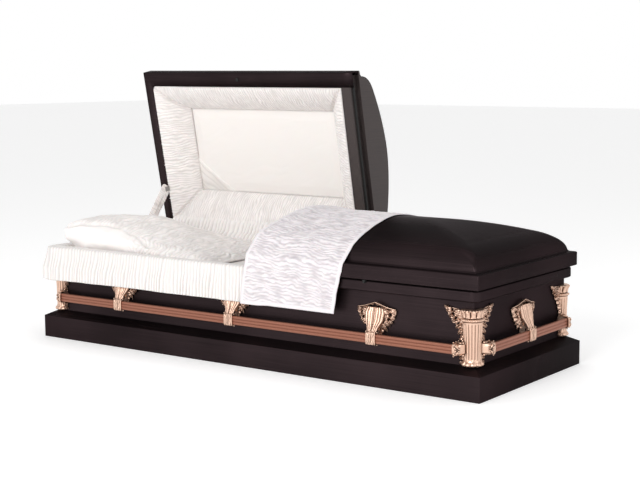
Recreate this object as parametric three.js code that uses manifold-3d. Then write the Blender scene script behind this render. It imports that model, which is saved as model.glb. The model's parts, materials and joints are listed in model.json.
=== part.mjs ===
// Funeral casket with a divided lid, in millimetres, +Z up.
// X runs from the head end to the foot end, -Y is the front, and the origin is the middle of
// the underside. The head lid stands open on its hinges and the foot lid is closed.

import * as THREE from 'three';
import Module from 'manifold-3d';
import { mergeVertices } from 'three/addons/utils/BufferGeometryUtils.js';

const wasm = await Module();
wasm.setup();

// Clearances
const touchGap = 0.3; // between pieces that rest on or in each other
const lidGap = 4.6; // from the top moulding to the underside of a lid
const splitGap = 2; // between the two lids
const clothGap = 2.5; // between the throw and the lid it lies on
const skirtGap = 3.5; // between the skirt and the top moulding

// Body
const baseLength = 2134;
const baseWidth = 762;
const baseFaceHeight = 90;
const ledgeRise = 24;
const endInset = 49; // from the base's edge in to the end panels
const sideInset = 44.5; // from the base's edge in to the side panels
const bodyHeight = 378; // to the top of the top moulding
const sheetThickness = 1.2;
const baseFlangeWidth = 36;
const mouldingReach = 26; // how far the top moulding stands out from the panels
const mouldingHeight = 39;
const mouldingBevel = 4;
const mouldingWall = 2;

// Lids
const rimReach = 36; // how far the lid rim stands out from the panels
const rimHeight = 52.4;
const ledgeWidth = 14.5;
const ledgeDrop = 2;
const coveWidth = 12;
const coveHeight = 10;
const shoulderWidth = 78;
const shoulderEndWidth = 96.5;
const shoulderHeight = 72;
const crownHeight = 51;
const crownEndRun = 330; // from the shoulder to the end of the ridge
const crownPower = 1.8;
const shoulderBend = [0.13, 0.72]; // where the shoulder turns, as shares of its width and height
const shoulderSteps = 4;
const crownSteps = 4;
const flangeWidth = 45;
const splitX = 107; // plane between the lids
const openAngle = THREE.MathUtils.degToRad(79.3);

// Split ends of the lids
const recessDepth = 19;
const recessHeight = 46;
const recessEndMargin = 16;
const stripThickness = 6;
const stripHeight = 9;
const stripDrop = 22; // from the recess ceiling down to the strip

// Hinges
const hingeRadius = 4;
const hingeReach = 4.5; // how far the pin lies behind the top moulding
const hingeRise = 2.5; // how far the pin lies above the top moulding
const hingeLength = 120;
const hingeFromEnd = 190; // from a lid's end or split to the middle of its hinge
const leafWidth = 13;
const leafThickness = 1.5;
const pinSides = 6;
const knuckleGap = 0.5;
const knuckleClearance = 1;
const gasketFrom = 1; // from the panel plane out to the gasket
const gasketWidth = 7;
const gasketHeight = 2;

// Lid lining
const borderWidth = 113;
const borderDepth = 119;
const borderThickness = 16;
const panelThickness = 12;

// Interior
const liningThickness = 16;
const armSlot = 20; // between the head panel and the head lining, where the stay arm runs
const mattressTop = 345;
const mattressThickness = 100;
const railWidth = 24; // of the rails under the mattress
const pillowFromHead = 20; // from the head lining
const pillowFromSides = 6.4;
const pillowLength = 727;
const pillowPeakFromHead = 172;
const pillowHeight = 152;
const pillowLevels = 6;
const pillowSides = 20;
const pillowTopShare = 0.985; // of the height, at which the rounding is closed
const pillowEdgeRound = 2.7; // powers that shape the pillow's sides, its slope and its corners
const pillowSlope = 0.95;
const pillowCorner = 0.5;

// Stay arm
const armFromHinge = 203; // along the lid, from the hinge pin to the arm's pivot
const armDrop = 17; // below the hinge pin when the lid is closed
const armLength = 265;
const armWidth = 28;
const armThickness = 9;
const armFromPanel = 6; // from the head panel's plane in to the arm
const armEndSteps = 6;
const bracketFromPanel = 4;
const bracketWidth = 22;
const bracketThickness = 2.2;
const bracketBelowPivot = 8;

// Cloth
const clothThickness = 2.5;
const skirtThickness = 1.4;
const skirtHemHeight = 250;
const skirtSideFlare = 12; // how far the hem stands out beyond the top, at the split
const skirtCornerFlare = 23; // the same where it hangs over a corner casting
const skirtTopShare = 0.3; // of the flare, at the foot of the top moulding
const skirtInnerReach = 2;
const throwHemHeight = 246;
const throwLength = 398; // along the casket, over the crown
const throwHemTaper = 38; // how much shorter the front hem is
const throwBackRun = 190; // past the ridge, down the back slope

// Bars
const barOffset = 40; // from the panel to the middle of the bar
const barMiddleHeight = 175;
const barHeight = 34;
const barThickness = 12;
const barRidge = 2;
const barRidges = 3;
const barRidgeSpan = [0.3, 0.7]; // of a ridge's share of the height

// Lugs. A height in their tables is a share of the way from the bar's middle up to the lug's
// peak, or where it is negative, down to the foot of the panel.
const headLugFromEnd = 390;
const middleLugX = -41;
const footLugFromEnd = 398;
const lugBelowMoulding = 37;
const lugHalfWidth = 84;
const lugPlateThickness = 7;
// Right edge of the plate from its peak to its foot: [share of the half width, height]
const lugEdge = [
  [0, 1], [0.52, 0.866], [1, 0.819], [0.97, 0.677], [0.86, 0.63], [0.9, 0.52],
  [0.78, 0.48], [0.82, 0.402], [0.5, 0.354], [0.28, 0.165], [0.1, -0.51],
];
// Leaves: [share of the half width, height, length as such a share, width, tilt in degrees]
const lugLeaves = [[0.77, 0.724, 0.34, 13, 10], [0.7, 0.559, 0.34, 13, -12]];
// The fan from top to bottom: [height, share of the way out to the clasp, half width, depth]
const fanStations = [
  [0.882, 0.26, 38, 8], [0.74, 0.39, 44, 14], [0.496, 0.54, 38, 21], [0.307, 0.72, 24, 14],
  [0.15, 1, 21, 14],
];
const fanOverBar = 6;
const fanFlutes = 4;
const fanRidge = 2.4;
const fanCrown = 3;
const fanBackShare = 0.9;
const claspHalfWidth = 29;
const claspWall = 6;
const claspTopWall = 9;
// The clasp from its foot: [share of the height, share of the half width, share of the depth]
const claspStations = [[0, 0.62, 0.7], [0.08, 0.92, 1], [0.47, 1, 1], [0.82, 0.9, 1], [1, 0.75, 0.8]];
const claspChamfer = 0.6;
const claspFlat = 0.5;
const leafSink = 1; // how deep a leaf starts inside its plate
const leafRise = 6;
const leafTopShare = 0.45;
const leafSides = 6;
const leafPoint = 0.35;

// Corner castings
const columnRadius = 35;
const columnCentre = 15; // inwards from both panels
const columnFlutes = 10;
const fluteDepth = 2.4;
const fluteSpan = [0.1, 0.8]; // share of the height that is fluted
const columnLeafFrom = 0.9; // share of the height where the lobes of the capital start
const columnLobe = 2.2;
const cornerBelowMoulding = 28;
// Column from its foot: [share of the height, share of the radius]
const columnStations = [
  [0, 1.14], [0.1, 0.96], [0.77, 1.03], [0.81, 1.13], [0.87, 1.05], [0.96, 1.18], [1, 1.12],
];
const wingReach = 119;
const wingThickness = 7;
// Edge of a wing from the column's top to its foot: [share of the reach, height as for the lugs]
const wingEdge = [
  [-0.03, 0.956], [0.4, 0.993], [1, 1.066], [0.96, 0.949], [0.85, 0.904], [0.87, 0.816],
  [0.74, 0.772], [0.75, 0.669], [0.62, 0.61], [0.48, 0.434], [0.36, 0.228], [0.4, 0.169],
  [0.4, -0.377], [0.3, -0.475], [0.42, -0.607], [0.4, -0.934], [-0.03, -0.984],
];
const wingLeaves = [
  [0.74, 0.956, 0.44, 16, 8], [0.64, 0.794, 0.36, 16, -8], [0.54, 0.618, 0.26, 14, -34],
  [0.32, -0.754, 0.22, 16, 0],
];
const socketReach = 58; // from the body's corner to the socket's mouth
const socketDepth = 20;
const socketWall = 6;
const socketChamfer = 5;
const socketFlat = 0.6;
// Socket from the corner to its mouth: [share of the reach, share of the height, share of the way out]
const socketStations = [[0, 0.78, 0.3], [0.35, 0.86, 0.72], [0.68, 0.84, 0.94], [1, 1, 1]];

// Worked out from the above
const baseHalfLength = baseLength / 2;
const baseHalfWidth = baseWidth / 2;
const bodyHalfLength = baseHalfLength - endInset;
const bodyHalfWidth = baseHalfWidth - sideInset;
const panelFoot = baseFaceHeight + ledgeRise;
const mouldingHalfWidth = bodyHalfWidth + mouldingReach;
const mouldingUnderside = bodyHeight - mouldingHeight;
const lidUnderside = bodyHeight + lidGap;
const rimHalfLength = bodyHalfLength + rimReach;
const rimHalfWidth = bodyHalfWidth + rimReach;
const hingeY = mouldingHalfWidth + hingeReach;
const hingeZ = bodyHeight + hingeRise;
const barBottom = barMiddleHeight - barHeight / 2;
const barTop = barMiddleHeight + barHeight / 2;
const lugPanelY = touchGap;
const lugPlaces = [headLugFromEnd - bodyHalfLength, middleLugX, bodyHalfLength - footLugFromEnd];
const lugTop = mouldingUnderside - lugBelowMoulding;
const cornerTop = mouldingUnderside - cornerBelowMoulding;
const castingTop = castingHeight(Math.max(...wingEdge.map(([, share]) => share)), cornerTop);
const pillowHeadX = armSlot + liningThickness + pillowFromHead - bodyHalfLength;
const pillowFootX = pillowHeadX + pillowLength;
const pillowPeakX = pillowHeadX + pillowPeakFromHead;
const innerHalfWidth = bodyHalfWidth - sheetThickness - touchGap - liningThickness;
const pillowHalfWidth = innerHalfWidth - touchGap - pillowFromSides;

// A height on a casting, from its share of the way above or below the bar's middle
function castingHeight(share, top) {
  const way = share < 0 ? barMiddleHeight - panelFoot : top - barMiddleHeight;
  return barMiddleHeight + share * way;
}

// Finishes
function finish(color, roughness, metalness) {
  return new THREE.MeshStandardMaterial({ color, roughness, metalness, flatShading: true });
}

const paintedSteel = finish(0x2c2523, 0.38, 0.6);
const headerSteel = finish(0x4a4441, 0.5, 0.5);
const castMetal = finish(0xd9b295, 0.3, 0.9);
const copperBar = finish(0xa56e55, 0.42, 0.85);
const blackRubber = finish(0x0c0c0c, 0.7, 0);
const plainSteel = finish(0x8a8784, 0.4, 0.9);
const whiteCloth = finish(0xf0ebe8, 0.8, 0);
const throwCloth = finish(0xe9e6ea, 0.85, 0);

// Closed bodies from points and triangles

function bodyFromTriangles(points, triangles) {
  const loose = new THREE.BufferGeometry();
  loose.setAttribute('position', new THREE.Float32BufferAttribute(points.flat(), 3));
  loose.setIndex(triangles.flat());
  const merged = mergeVertices(loose, 1e-3);
  const index = merged.index.array;
  const kept = [];
  for (let i = 0; i < index.length; i += 3) {
    const [a, b, c] = [index[i], index[i + 1], index[i + 2]];
    if (a !== b && b !== c && a !== c) kept.push([a, b, c]);
  }
  const volume = signedVolume(merged.attributes.position, kept);
  const facing = volume < 0 ? kept.map(([a, b, c]) => [a, c, b]) : kept;
  merged.setIndex(facing.flat());
  return merged;
}

function signedVolume(position, triangles) {
  const [a, b, c] = [new THREE.Vector3(), new THREE.Vector3(), new THREE.Vector3()];
  let volume = 0;
  for (const [i, j, k] of triangles) {
    a.fromBufferAttribute(position, i);
    b.fromBufferAttribute(position, j);
    c.fromBufferAttribute(position, k);
    volume += a.dot(b.cross(c)) / 6;
  }
  return volume;
}

// Joins rings of points, one after another, into a closed body. An open run is capped at both
// ends and a closed run joins its last ring to its first.
function loft(rings, closedRun = false) {
  const count = rings[0].length;
  const points = rings.flat();
  const triangles = [];
  const runs = closedRun ? rings.length : rings.length - 1;
  for (let r = 0; r < runs; r++) {
    const here = r * count;
    const there = ((r + 1) % rings.length) * count;
    for (let i = 0; i < count; i++) {
      const j = (i + 1) % count;
      triangles.push([here + i, here + j, there + j], [here + i, there + j, there + i]);
    }
  }
  if (!closedRun) {
    const first = capTriangles(rings[0]);
    const last = capTriangles(rings[rings.length - 1]);
    const lastStart = (rings.length - 1) * count;
    triangles.push(...first.map(([a, b, c]) => [a, c, b]));
    triangles.push(...last.map(([a, b, c]) => [lastStart + a, lastStart + b, lastStart + c]));
  }
  return bodyFromTriangles(points, triangles);
}

// Triangles that fill a ring, seen along the axis that shows the most of it.
function capTriangles(ring) {
  const area = [0, 0, 0];
  ring.forEach((p, i) => {
    const q = ring[(i + 1) % ring.length];
    area[0] += p[1] * q[2] - q[1] * p[2];
    area[1] += p[2] * q[0] - q[2] * p[0];
    area[2] += p[0] * q[1] - q[0] * p[1];
  });
  const size = area.map(Math.abs);
  const axis = size.indexOf(Math.max(...size));
  const [u, v] = [(axis + 1) % 3, (axis + 2) % 3];
  const flat = ring.map((p) => new THREE.Vector2(p[u], p[v]));
  const faces = THREE.ShapeUtils.triangulateShape(flat, []);
  const clockwise = area[axis] < 0;
  const wanted = clockwise ? -1 : 1;
  return faces.map(([a, b, c]) => {
    const turn = (flat[b].x - flat[a].x) * (flat[c].y - flat[a].y)
      - (flat[c].x - flat[a].x) * (flat[b].y - flat[a].y);
    return Math.sign(turn) === wanted ? [a, b, c] : [a, c, b];
  });
}

// A mitred frame: a closed section of [outwards, height] carried round a rectangle.
function mitredFrame(section, halfLength, halfWidth) {
  const corners = [[-1, -1], [1, -1], [1, 1], [-1, 1]];
  const rings = corners.map(([sx, sy]) => section.map(
    ([out, z]) => [sx * (halfLength + out), sy * (halfWidth + out), z]));
  return loft(rings, true);
}

function block(low, high) {
  const size = low.map((value, i) => high[i] - value);
  const middle = low.map((value, i) => (high[i] + value) / 2);
  return new THREE.BoxGeometry(...size).translate(...middle);
}

function toSolid(geometry) {
  const bare = geometry.clone();
  bare.deleteAttribute('normal');
  bare.deleteAttribute('uv');
  const merged = mergeVertices(bare, 1e-4);
  return new wasm.Manifold(new wasm.Mesh({
    numProp: 3,
    vertProperties: new Float32Array(merged.attributes.position.array),
    triVerts: new Uint32Array(merged.index.array),
  }));
}

function fromSolid(solid) {
  const mesh = solid.getMesh();
  const geometry = new THREE.BufferGeometry();
  geometry.setAttribute('position', new THREE.BufferAttribute(mesh.vertProperties, 3));
  geometry.setIndex(new THREE.BufferAttribute(mesh.triVerts, 1));
  return geometry;
}

function joined(geometries) {
  return geometries.map(toSolid).reduce((all, next) => all.add(next));
}

// Moves points by a rule and keeps the faces pointing out when the rule mirrors them.
function remapped(geometry, rule) {
  const position = geometry.attributes.position;
  const points = [];
  for (let i = 0; i < position.count; i++) {
    points.push(rule(position.getX(i), position.getY(i), position.getZ(i)));
  }
  const index = Array.from(geometry.index.array);
  const triangles = [];
  for (let i = 0; i < index.length; i += 3) triangles.push(index.slice(i, i + 3));
  return bodyFromTriangles(points, triangles);
}

// Body shell, mouldings and gasket

function makeBodyShell() {
  const outer = block([-bodyHalfLength, -bodyHalfWidth, 0],
    [bodyHalfLength, bodyHalfWidth, bodyHeight - mouldingWall - touchGap]);
  const innerLength = bodyHalfLength - sheetThickness;
  const innerWidth = bodyHalfWidth - sheetThickness;
  const inner = block([-innerLength, -innerWidth, sheetThickness],
    [innerLength, innerWidth, bodyHeight]);
  return fromSolid(toSolid(outer).subtract(toSolid(inner)));
}

function makeBaseMoulding() {
  const t = sheetThickness;
  const inset = [endInset, sideInset];
  const corners = [[-1, -1], [1, -1], [1, 1], [-1, 1]];
  const section = [
    [1 - touchGap / sideInset, panelFoot],
    [0, baseFaceHeight],
    [0, 0],
    [baseFlangeWidth / sideInset, 0],
    [baseFlangeWidth / sideInset, t],
    [t / sideInset, t],
    [t / sideInset, baseFaceHeight - t],
    [1 - touchGap / sideInset, panelFoot - t],
  ];
  const rings = corners.map(([sx, sy]) => section.map(([share, z]) => [
    sx * (baseHalfLength - share * inset[0]),
    sy * (baseHalfWidth - share * inset[1]),
    z,
  ]));
  return loft(rings, true);
}

function makeTopMoulding() {
  const top = bodyHeight;
  const under = mouldingUnderside;
  const section = [
    [touchGap, under],
    [mouldingReach - mouldingBevel, under],
    [mouldingReach, under + mouldingBevel],
    [mouldingReach, top - mouldingBevel],
    [mouldingReach - mouldingBevel, top],
    [-sheetThickness, top],
    [-sheetThickness, top - mouldingWall],
    [mouldingReach - mouldingWall - mouldingBevel, top - mouldingWall],
    [mouldingReach - mouldingWall, top - mouldingBevel - mouldingWall],
    [mouldingReach - mouldingWall, under + mouldingBevel + mouldingWall],
    [mouldingReach - mouldingBevel - mouldingWall, under + mouldingWall],
    [touchGap, under + mouldingWall],
  ];
  const ring = toSolid(mitredFrame(section, bodyHalfLength, bodyHalfWidth));
  return fromSolid(hingePlaces().reduce((solid, x) => solid.subtract(knuckleRoom(x)), ring));
}

function makeGasket() {
  const bottom = bodyHeight + touchGap;
  const section = [
    [gasketFrom, bottom],
    [gasketFrom + gasketWidth, bottom],
    [gasketFrom + gasketWidth, bottom + gasketHeight],
    [gasketFrom, bottom + gasketHeight],
  ];
  return mitredFrame(section, bodyHalfLength, bodyHalfWidth);
}

// Hinges along the back rim

function hingePlaces() {
  return [
    -rimHalfLength + hingeFromEnd,
    splitX - hingeFromEnd,
    splitX + hingeFromEnd,
    rimHalfLength - hingeFromEnd,
  ];
}

function pinCylinder(fromX, toX, radius) {
  const pin = new THREE.CylinderGeometry(radius, radius, toX - fromX, pinSides);
  return pin.rotateZ(Math.PI / 2).translate((fromX + toX) / 2, hingeY, hingeZ);
}

function knuckleRoom(x) {
  const half = hingeLength / 2 + knuckleClearance;
  return toSolid(pinCylinder(x - half, x + half, hingeRadius + knuckleClearance));
}

// The body leaf has the outer knuckles and the lid leaf has the middle one.
function makeBodyLeaf(x) {
  const third = hingeLength / 6;
  const half = hingeLength / 2;
  const bottom = bodyHeight + touchGap;
  const edge = mouldingHalfWidth - mouldingBevel - leafWidth;
  const parts = [
    block([x - half, edge, bottom], [x - third, hingeY, bottom + leafThickness]),
    block([x + third, edge, bottom], [x + half, hingeY, bottom + leafThickness]),
    pinCylinder(x - half, x - third, hingeRadius),
    pinCylinder(x + third, x + half, hingeRadius),
    block([x - half, edge, bottom], [x + half, edge + leafWidth / 2, bottom + leafThickness]),
  ];
  return fromSolid(joined(parts));
}

function makeLidLeaf(x) {
  const third = hingeLength / 6 - knuckleGap;
  const half = hingeLength / 2;
  const top = lidUnderside - touchGap;
  const edge = mouldingHalfWidth - mouldingBevel - leafWidth;
  const parts = [
    block([x - third, edge, top - leafThickness], [x + third, hingeY, top]),
    pinCylinder(x - third, x + third, hingeRadius),
    block([x - half, edge, top - leafThickness], [x + half, edge + leafWidth / 2, top]),
  ];
  return fromSolid(joined(parts));
}

// Lid shells. A profile is a list of [inset from the rim, height].

function lidProfile() {
  const rimTop = lidUnderside + rimHeight;
  const coveStart = [ledgeWidth, rimTop + ledgeDrop];
  const coveEnd = [ledgeWidth + coveWidth, rimTop + coveHeight + ledgeDrop];
  const shoulderEnd = [coveEnd[0] + shoulderWidth, coveEnd[1] + shoulderHeight];
  const points = [[0, lidUnderside], [0, rimTop], coveStart, coveEnd];
  const bend = new THREE.Vector2(
    coveEnd[0] + shoulderWidth * shoulderBend[0], coveEnd[1] + shoulderHeight * shoulderBend[1]);
  const shoulder = new THREE.QuadraticBezierCurve(
    new THREE.Vector2(...coveEnd), bend, new THREE.Vector2(...shoulderEnd));
  for (const p of shoulder.getPoints(shoulderSteps).slice(1)) points.push([p.x, p.y]);
  const run = rimHalfWidth - shoulderEnd[0];
  for (let i = 1; i <= crownSteps; i++) {
    const t = i / crownSteps;
    const rise = crownHeight * (1 - (1 - t) ** crownPower);
    points.push([shoulderEnd[0] + run * t, shoulderEnd[1] + rise]);
  }
  return points;
}

const flatInset = ledgeWidth + coveWidth;
const crownInset = flatInset + shoulderWidth;

// The end of a lid falls away over a longer run than its sides do.
function endRun(inset) {
  if (inset <= flatInset) return inset;
  if (inset <= crownInset) {
    return flatInset + (inset - flatInset) * (shoulderEndWidth / shoulderWidth);
  }
  const share = (inset - crownInset) / (rimHalfWidth - crownInset);
  return flatInset + shoulderEndWidth + share * crownEndRun;
}

// Shifts a profile inwards, square to its own run. Its last point stays on the ridge line.
function insideProfile(profile, distance) {
  const ridge = profile[profile.length - 1];
  const before = profile[profile.length - 2];
  const mirrored = [2 * rimHalfWidth - before[0], before[1]];
  return profile.map((point, i) => {
    const previous = i === 0 ? [point[0], point[1] - 1] : profile[i - 1];
    const next = point === ridge ? mirrored : profile[i + 1];
    const normals = [[previous, point], [point, next]].map(([a, b]) => {
      const length = Math.hypot(b[0] - a[0], b[1] - a[1]);
      return [(b[1] - a[1]) / length, -(b[0] - a[0]) / length];
    });
    const sum = [normals[0][0] + normals[1][0], normals[0][1] + normals[1][1]];
    const stretch = 2 / (sum[0] ** 2 + sum[1] ** 2);
    return [point[0] + sum[0] * stretch * distance, point[1] + sum[1] * stretch * distance];
  });
}

// One level of a lid: a line from the split round the end and back to the split.
function lidLevel([inset, z], side, edgeX) {
  const x = side * (rimHalfLength - endRun(inset));
  const y = rimHalfWidth - inset;
  return [[edgeX, -y, z], [x, -y, z], [x, y, z], [edgeX, y, z]];
}

function lidSkin(levels) {
  const triangles = [];
  for (let level = 0; level < levels - 1; level++) {
    for (let i = 0; i < 3; i++) {
      const a = level * 4 + i;
      triangles.push([a, a + 1, a + 5], [a, a + 5, a + 4]);
    }
  }
  return triangles;
}

// A pressed shell: the outer skin, the inner skin, and strips that join them along the flange's
// edge and along the split.
function makeLidShell(side) {
  const edgeX = splitX + side * splitGap / 2;
  const t = sheetThickness;
  const profile = lidProfile();
  const outer = [[flangeWidth, lidUnderside], ...profile];
  const inner = insideProfile(profile, t);
  inner[0] = [t, lidUnderside + t];
  inner.unshift([flangeWidth, lidUnderside + t]);
  const count = outer.length;
  const points = [...outer, ...inner].flatMap((level) => lidLevel(level, side, edgeX));
  const skin = lidSkin(count);
  const shift = count * 4;
  const triangles = [...skin, ...skin.map(([a, b, c]) => [a + shift, c + shift, b + shift])];
  for (let i = 0; i < 3; i++) {
    triangles.push([i, i + shift, i + 1 + shift], [i, i + 1 + shift, i + 1]);
  }
  for (let level = 0; level < count - 1; level++) {
    const a = level * 4;
    triangles.push([a, a + 4, a + 4 + shift], [a, a + 4 + shift, a + shift]);
    triangles.push([a + 3, a + 7 + shift, a + 7], [a + 3, a + 3 + shift, a + 7 + shift]);
  }
  return bodyFromTriangles(points, triangles);
}

function makeLid(side) {
  const shell = toSolid(makeLidShell(side));
  const places = hingePlaces().filter((x) => Math.sign(x - splitX) === side);
  return fromSolid(places.reduce((solid, x) => solid.subtract(knuckleRoom(x)), shell));
}

// The room inside a lid at its split, to which the header is cut.
function lidRoom(fromX, toX) {
  const inside = insideProfile(lidProfile(), sheetThickness + touchGap);
  inside[0] = [sheetThickness + touchGap, lidUnderside - flangeWidth];
  const half = inside.map(([inset, z]) => [-(rimHalfWidth - inset), z]);
  const back = half.slice(0, -1).reverse().map(([y, z]) => [-y, z]);
  const outline = [...half, ...back];
  return loft([fromX, toX].map((x) => outline.map(([y, z]) => [x, y, z])));
}

// The head lid's header: the crown plate, a step in, the recess wall and its flange.
function makeHeadHeader() {
  const face = splitX - splitGap / 2;
  const t = sheetThickness;
  const recessTop = lidUnderside + recessHeight;
  const wall = face - recessDepth;
  const reach = rimHalfWidth;
  const flangeHeight = lidUnderside + sheetThickness + touchGap;
  const recessReach = reach - recessEndMargin;
  const parts = [
    block([face - t, -reach, recessTop - t], [face, reach, lidUnderside + reach]),
    block([wall - t, -recessReach, recessTop - t], [face, recessReach, recessTop]),
    block([wall - t, -recessReach, flangeHeight], [wall, recessReach, recessTop]),
    block([wall - flangeWidth, -recessReach, flangeHeight], [wall, recessReach, flangeHeight + t]),
  ];
  const room = toSolid(lidRoom(wall - flangeWidth - t, face + t));
  return fromSolid(joined(parts).intersect(room));
}

function makeRecessStrip() {
  const wall = splitX - splitGap / 2 - recessDepth + touchGap;
  const top = lidUnderside + recessHeight - stripDrop;
  const half = rimHalfWidth - flangeWidth;
  return block([wall, -half, top - stripHeight], [wall + stripThickness, half, top]);
}

// The foot lid's header is flat, with a flange at its foot.
function makeFootHeader() {
  const face = splitX + splitGap / 2;
  const t = sheetThickness;
  const bottom = lidUnderside + sheetThickness + touchGap;
  const reach = rimHalfWidth;
  const parts = [
    block([face, -reach, bottom], [face + t, reach, lidUnderside + reach]),
    block([face, -reach, bottom], [face + flangeWidth, reach, bottom + t]),
  ];
  const room = toSolid(lidRoom(face - t, face + flangeWidth + t));
  return fromSolid(joined(parts).intersect(room));
}

// Lining of the head lid: four padded borders that slope in to a flat panel.

function liningFrame() {
  const outerLow = [
    -rimHalfLength + endRun(flangeWidth) + touchGap,
    -rimHalfWidth + flangeWidth + touchGap,
  ];
  const splitEdge = splitX - splitGap / 2 - recessDepth - flangeWidth - touchGap;
  return [outerLow, [splitEdge, -outerLow[1]]];
}

function makeBorder(side) {
  const [low, high] = liningFrame();
  const corners = [[low[0], low[1]], [high[0], low[1]], [high[0], high[1]], [low[0], high[1]]];
  const inwards = [[1, 1], [-1, 1], [-1, -1], [1, -1]];
  const bottom = lidUnderside + touchGap;
  const section = [
    [0, bottom],
    [borderWidth, bottom + borderDepth],
    [borderWidth, bottom + borderDepth + borderThickness],
    [0, bottom + borderThickness],
  ];
  const rings = [side, (side + 1) % 4].map((corner, end) => section.map(([inset, z]) => {
    const point = [
      corners[corner][0] + inwards[corner][0] * inset,
      corners[corner][1] + inwards[corner][1] * inset,
      z,
    ];
    const along = side % 2;
    const direction = Math.sign(corners[(side + 1) % 4][along] - corners[side][along]);
    point[along] += direction * touchGap * (end === 0 ? 1 : -1);
    return point;
  }));
  return loft(rings);
}

function makeLiningPanel() {
  const [low, high] = liningFrame();
  const inset = borderWidth + touchGap;
  const bottom = lidUnderside + touchGap + borderDepth + touchGap;
  return block([low[0] + inset, low[1] + inset, bottom],
    [high[0] - inset, high[1] - inset, bottom + panelThickness]);
}

// Linings of the body, and the rails that carry the mattress

function makeSideLining(side) {
  const outer = bodyHalfWidth - sheetThickness - touchGap;
  const fromX = -(bodyHalfLength - armSlot);
  const toX = bodyHalfLength - sheetThickness - touchGap;
  const wall = [side * outer, side * innerHalfWidth].sort((p, q) => p - q);
  return block([fromX, wall[0], sheetThickness + touchGap], [toX, wall[1], bodyHeight]);
}

function makeBedRail(side) {
  const outer = innerHalfWidth - touchGap;
  const fromX = -(bodyHalfLength - armSlot);
  const toX = bodyHalfLength - sheetThickness - touchGap;
  const wall = [side * outer, side * (outer - railWidth)].sort((p, q) => p - q);
  const top = mattressTop - mattressThickness - touchGap;
  return block([fromX, wall[0], sheetThickness + touchGap], [toX, wall[1], top]);
}

function makeEndLining(side) {
  const halfWidth = innerHalfWidth - touchGap;
  const outer = side < 0 ? bodyHalfLength - armSlot : bodyHalfLength - sheetThickness - touchGap;
  const wall = [side * outer, side * (outer - liningThickness)].sort((p, q) => p - q);
  const bottom = mattressTop - mattressThickness;
  return block([wall[0], -halfWidth, bottom], [wall[1], halfWidth, bodyHeight]);
}

function makeMattress() {
  const halfWidth = innerHalfWidth - touchGap;
  const fromX = -(bodyHalfLength - armSlot - liningThickness - touchGap);
  const toX = bodyHalfLength - sheetThickness - liningThickness - 2 * touchGap;
  return block([fromX, -halfWidth, mattressTop - mattressThickness], [toX, halfWidth, mattressTop]);
}

// A plump pillow: rounded outlines that shrink towards a peak near the head end.
function makePillow() {
  const rings = [];
  for (let level = 0; level <= pillowLevels; level++) {
    const t = Math.min(level / pillowLevels, pillowTopShare);
    const round = Math.sqrt(1 - t ** pillowEdgeRound);
    const headX = THREE.MathUtils.lerp(pillowPeakX, pillowHeadX, round);
    const footX = THREE.MathUtils.lerp(pillowPeakX, pillowFootX, 1 - t ** pillowSlope);
    const halfWidth = pillowHalfWidth * round;
    const ring = [];
    for (let i = 0; i < pillowSides; i++) {
      const angle = (i / pillowSides) * 2 * Math.PI;
      const [c, s] = [Math.cos(angle), Math.sin(angle)];
      const square = (value) => Math.sign(value) * Math.abs(value) ** pillowCorner;
      const x = (headX + footX) / 2 + ((footX - headX) / 2) * square(c);
      ring.push([x, halfWidth * square(s), mattressTop + touchGap + pillowHeight * t]);
    }
    rings.push(ring);
  }
  return loft(rings);
}

// Cloth over the front and head rims of the body, hanging outside it. It stands out most where
// it passes over the corner castings.
function makeSkirt() {
  const onRim = bodyHeight + touchGap + gasketHeight + touchGap;
  const near = mouldingReach + skirtGap;
  const t = skirtThickness;
  const section = (flare) => [
    [-skirtInnerReach, onRim],
    [near, onRim],
    [near + flare * skirtTopShare, mouldingUnderside],
    [near + flare, castingTop],
    [near + flare, skirtHemHeight],
    [near + flare + t, skirtHemHeight],
    [near + flare + t, castingTop],
    [near + flare * skirtTopShare + t, mouldingUnderside],
    [near + t, onRim + t],
    [-skirtInnerReach, onRim + t],
  ];
  const stations = [
    [skirtSideFlare, ([out, z]) => [splitX - splitGap, -(bodyHalfWidth + out), z]],
    [skirtCornerFlare, ([out, z]) => [-(bodyHalfLength + out), -(bodyHalfWidth + out), z]],
    [skirtCornerFlare, ([out, z]) => [-(bodyHalfLength + out), bodyHalfWidth, z]],
  ];
  return loft(stations.map(([flare, place]) => section(flare).map(place)));
}

// Cloth laid over the foot lid beside the split, from a hem in front of the body to the back slope.
function makeThrow() {
  const profile = lidProfile();
  const layer = (distance) => {
    const shifted = insideProfile(profile, -distance);
    const front = shifted.map(([inset, z]) => [-(rimHalfWidth - inset), z]);
    front[0] = [front[1][0], throwHemHeight];
    const back = front.slice(0, -1).reverse().map(([y, z]) => [-y, z]);
    const reached = back.filter(([y]) => y < throwBackRun);
    return [...front, ...reached];
  };
  const under = layer(clothGap);
  const over = layer(clothGap + clothThickness);
  const section = [...under, ...over.reverse()];
  const fromX = splitX + splitGap / 2;
  const drop = lidUnderside - throwHemHeight;
  const ends = [() => fromX, ([, z]) => {
    const below = Math.max(0, lidUnderside - z) / drop;
    return fromX + throwLength - throwHemTaper * below;
  }];
  return loft(ends.map((end) => section.map((point) => [end(point), ...point])));
}

// Stay arm, drawn along -Y from its pivot on the lid
function makeStayArm() {
  const half = armWidth / 2;
  const outline = [];
  for (const end of [0, 1]) {
    for (let i = 0; i <= armEndSteps; i++) {
      const angle = (end + i / armEndSteps) * Math.PI;
      outline.push([half * Math.sin(angle) - end * armLength, half * Math.cos(angle)]);
    }
  }
  return loft([0, armThickness].map((x) => outline.map(([y, z]) => [x, y, z])));
}

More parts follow.
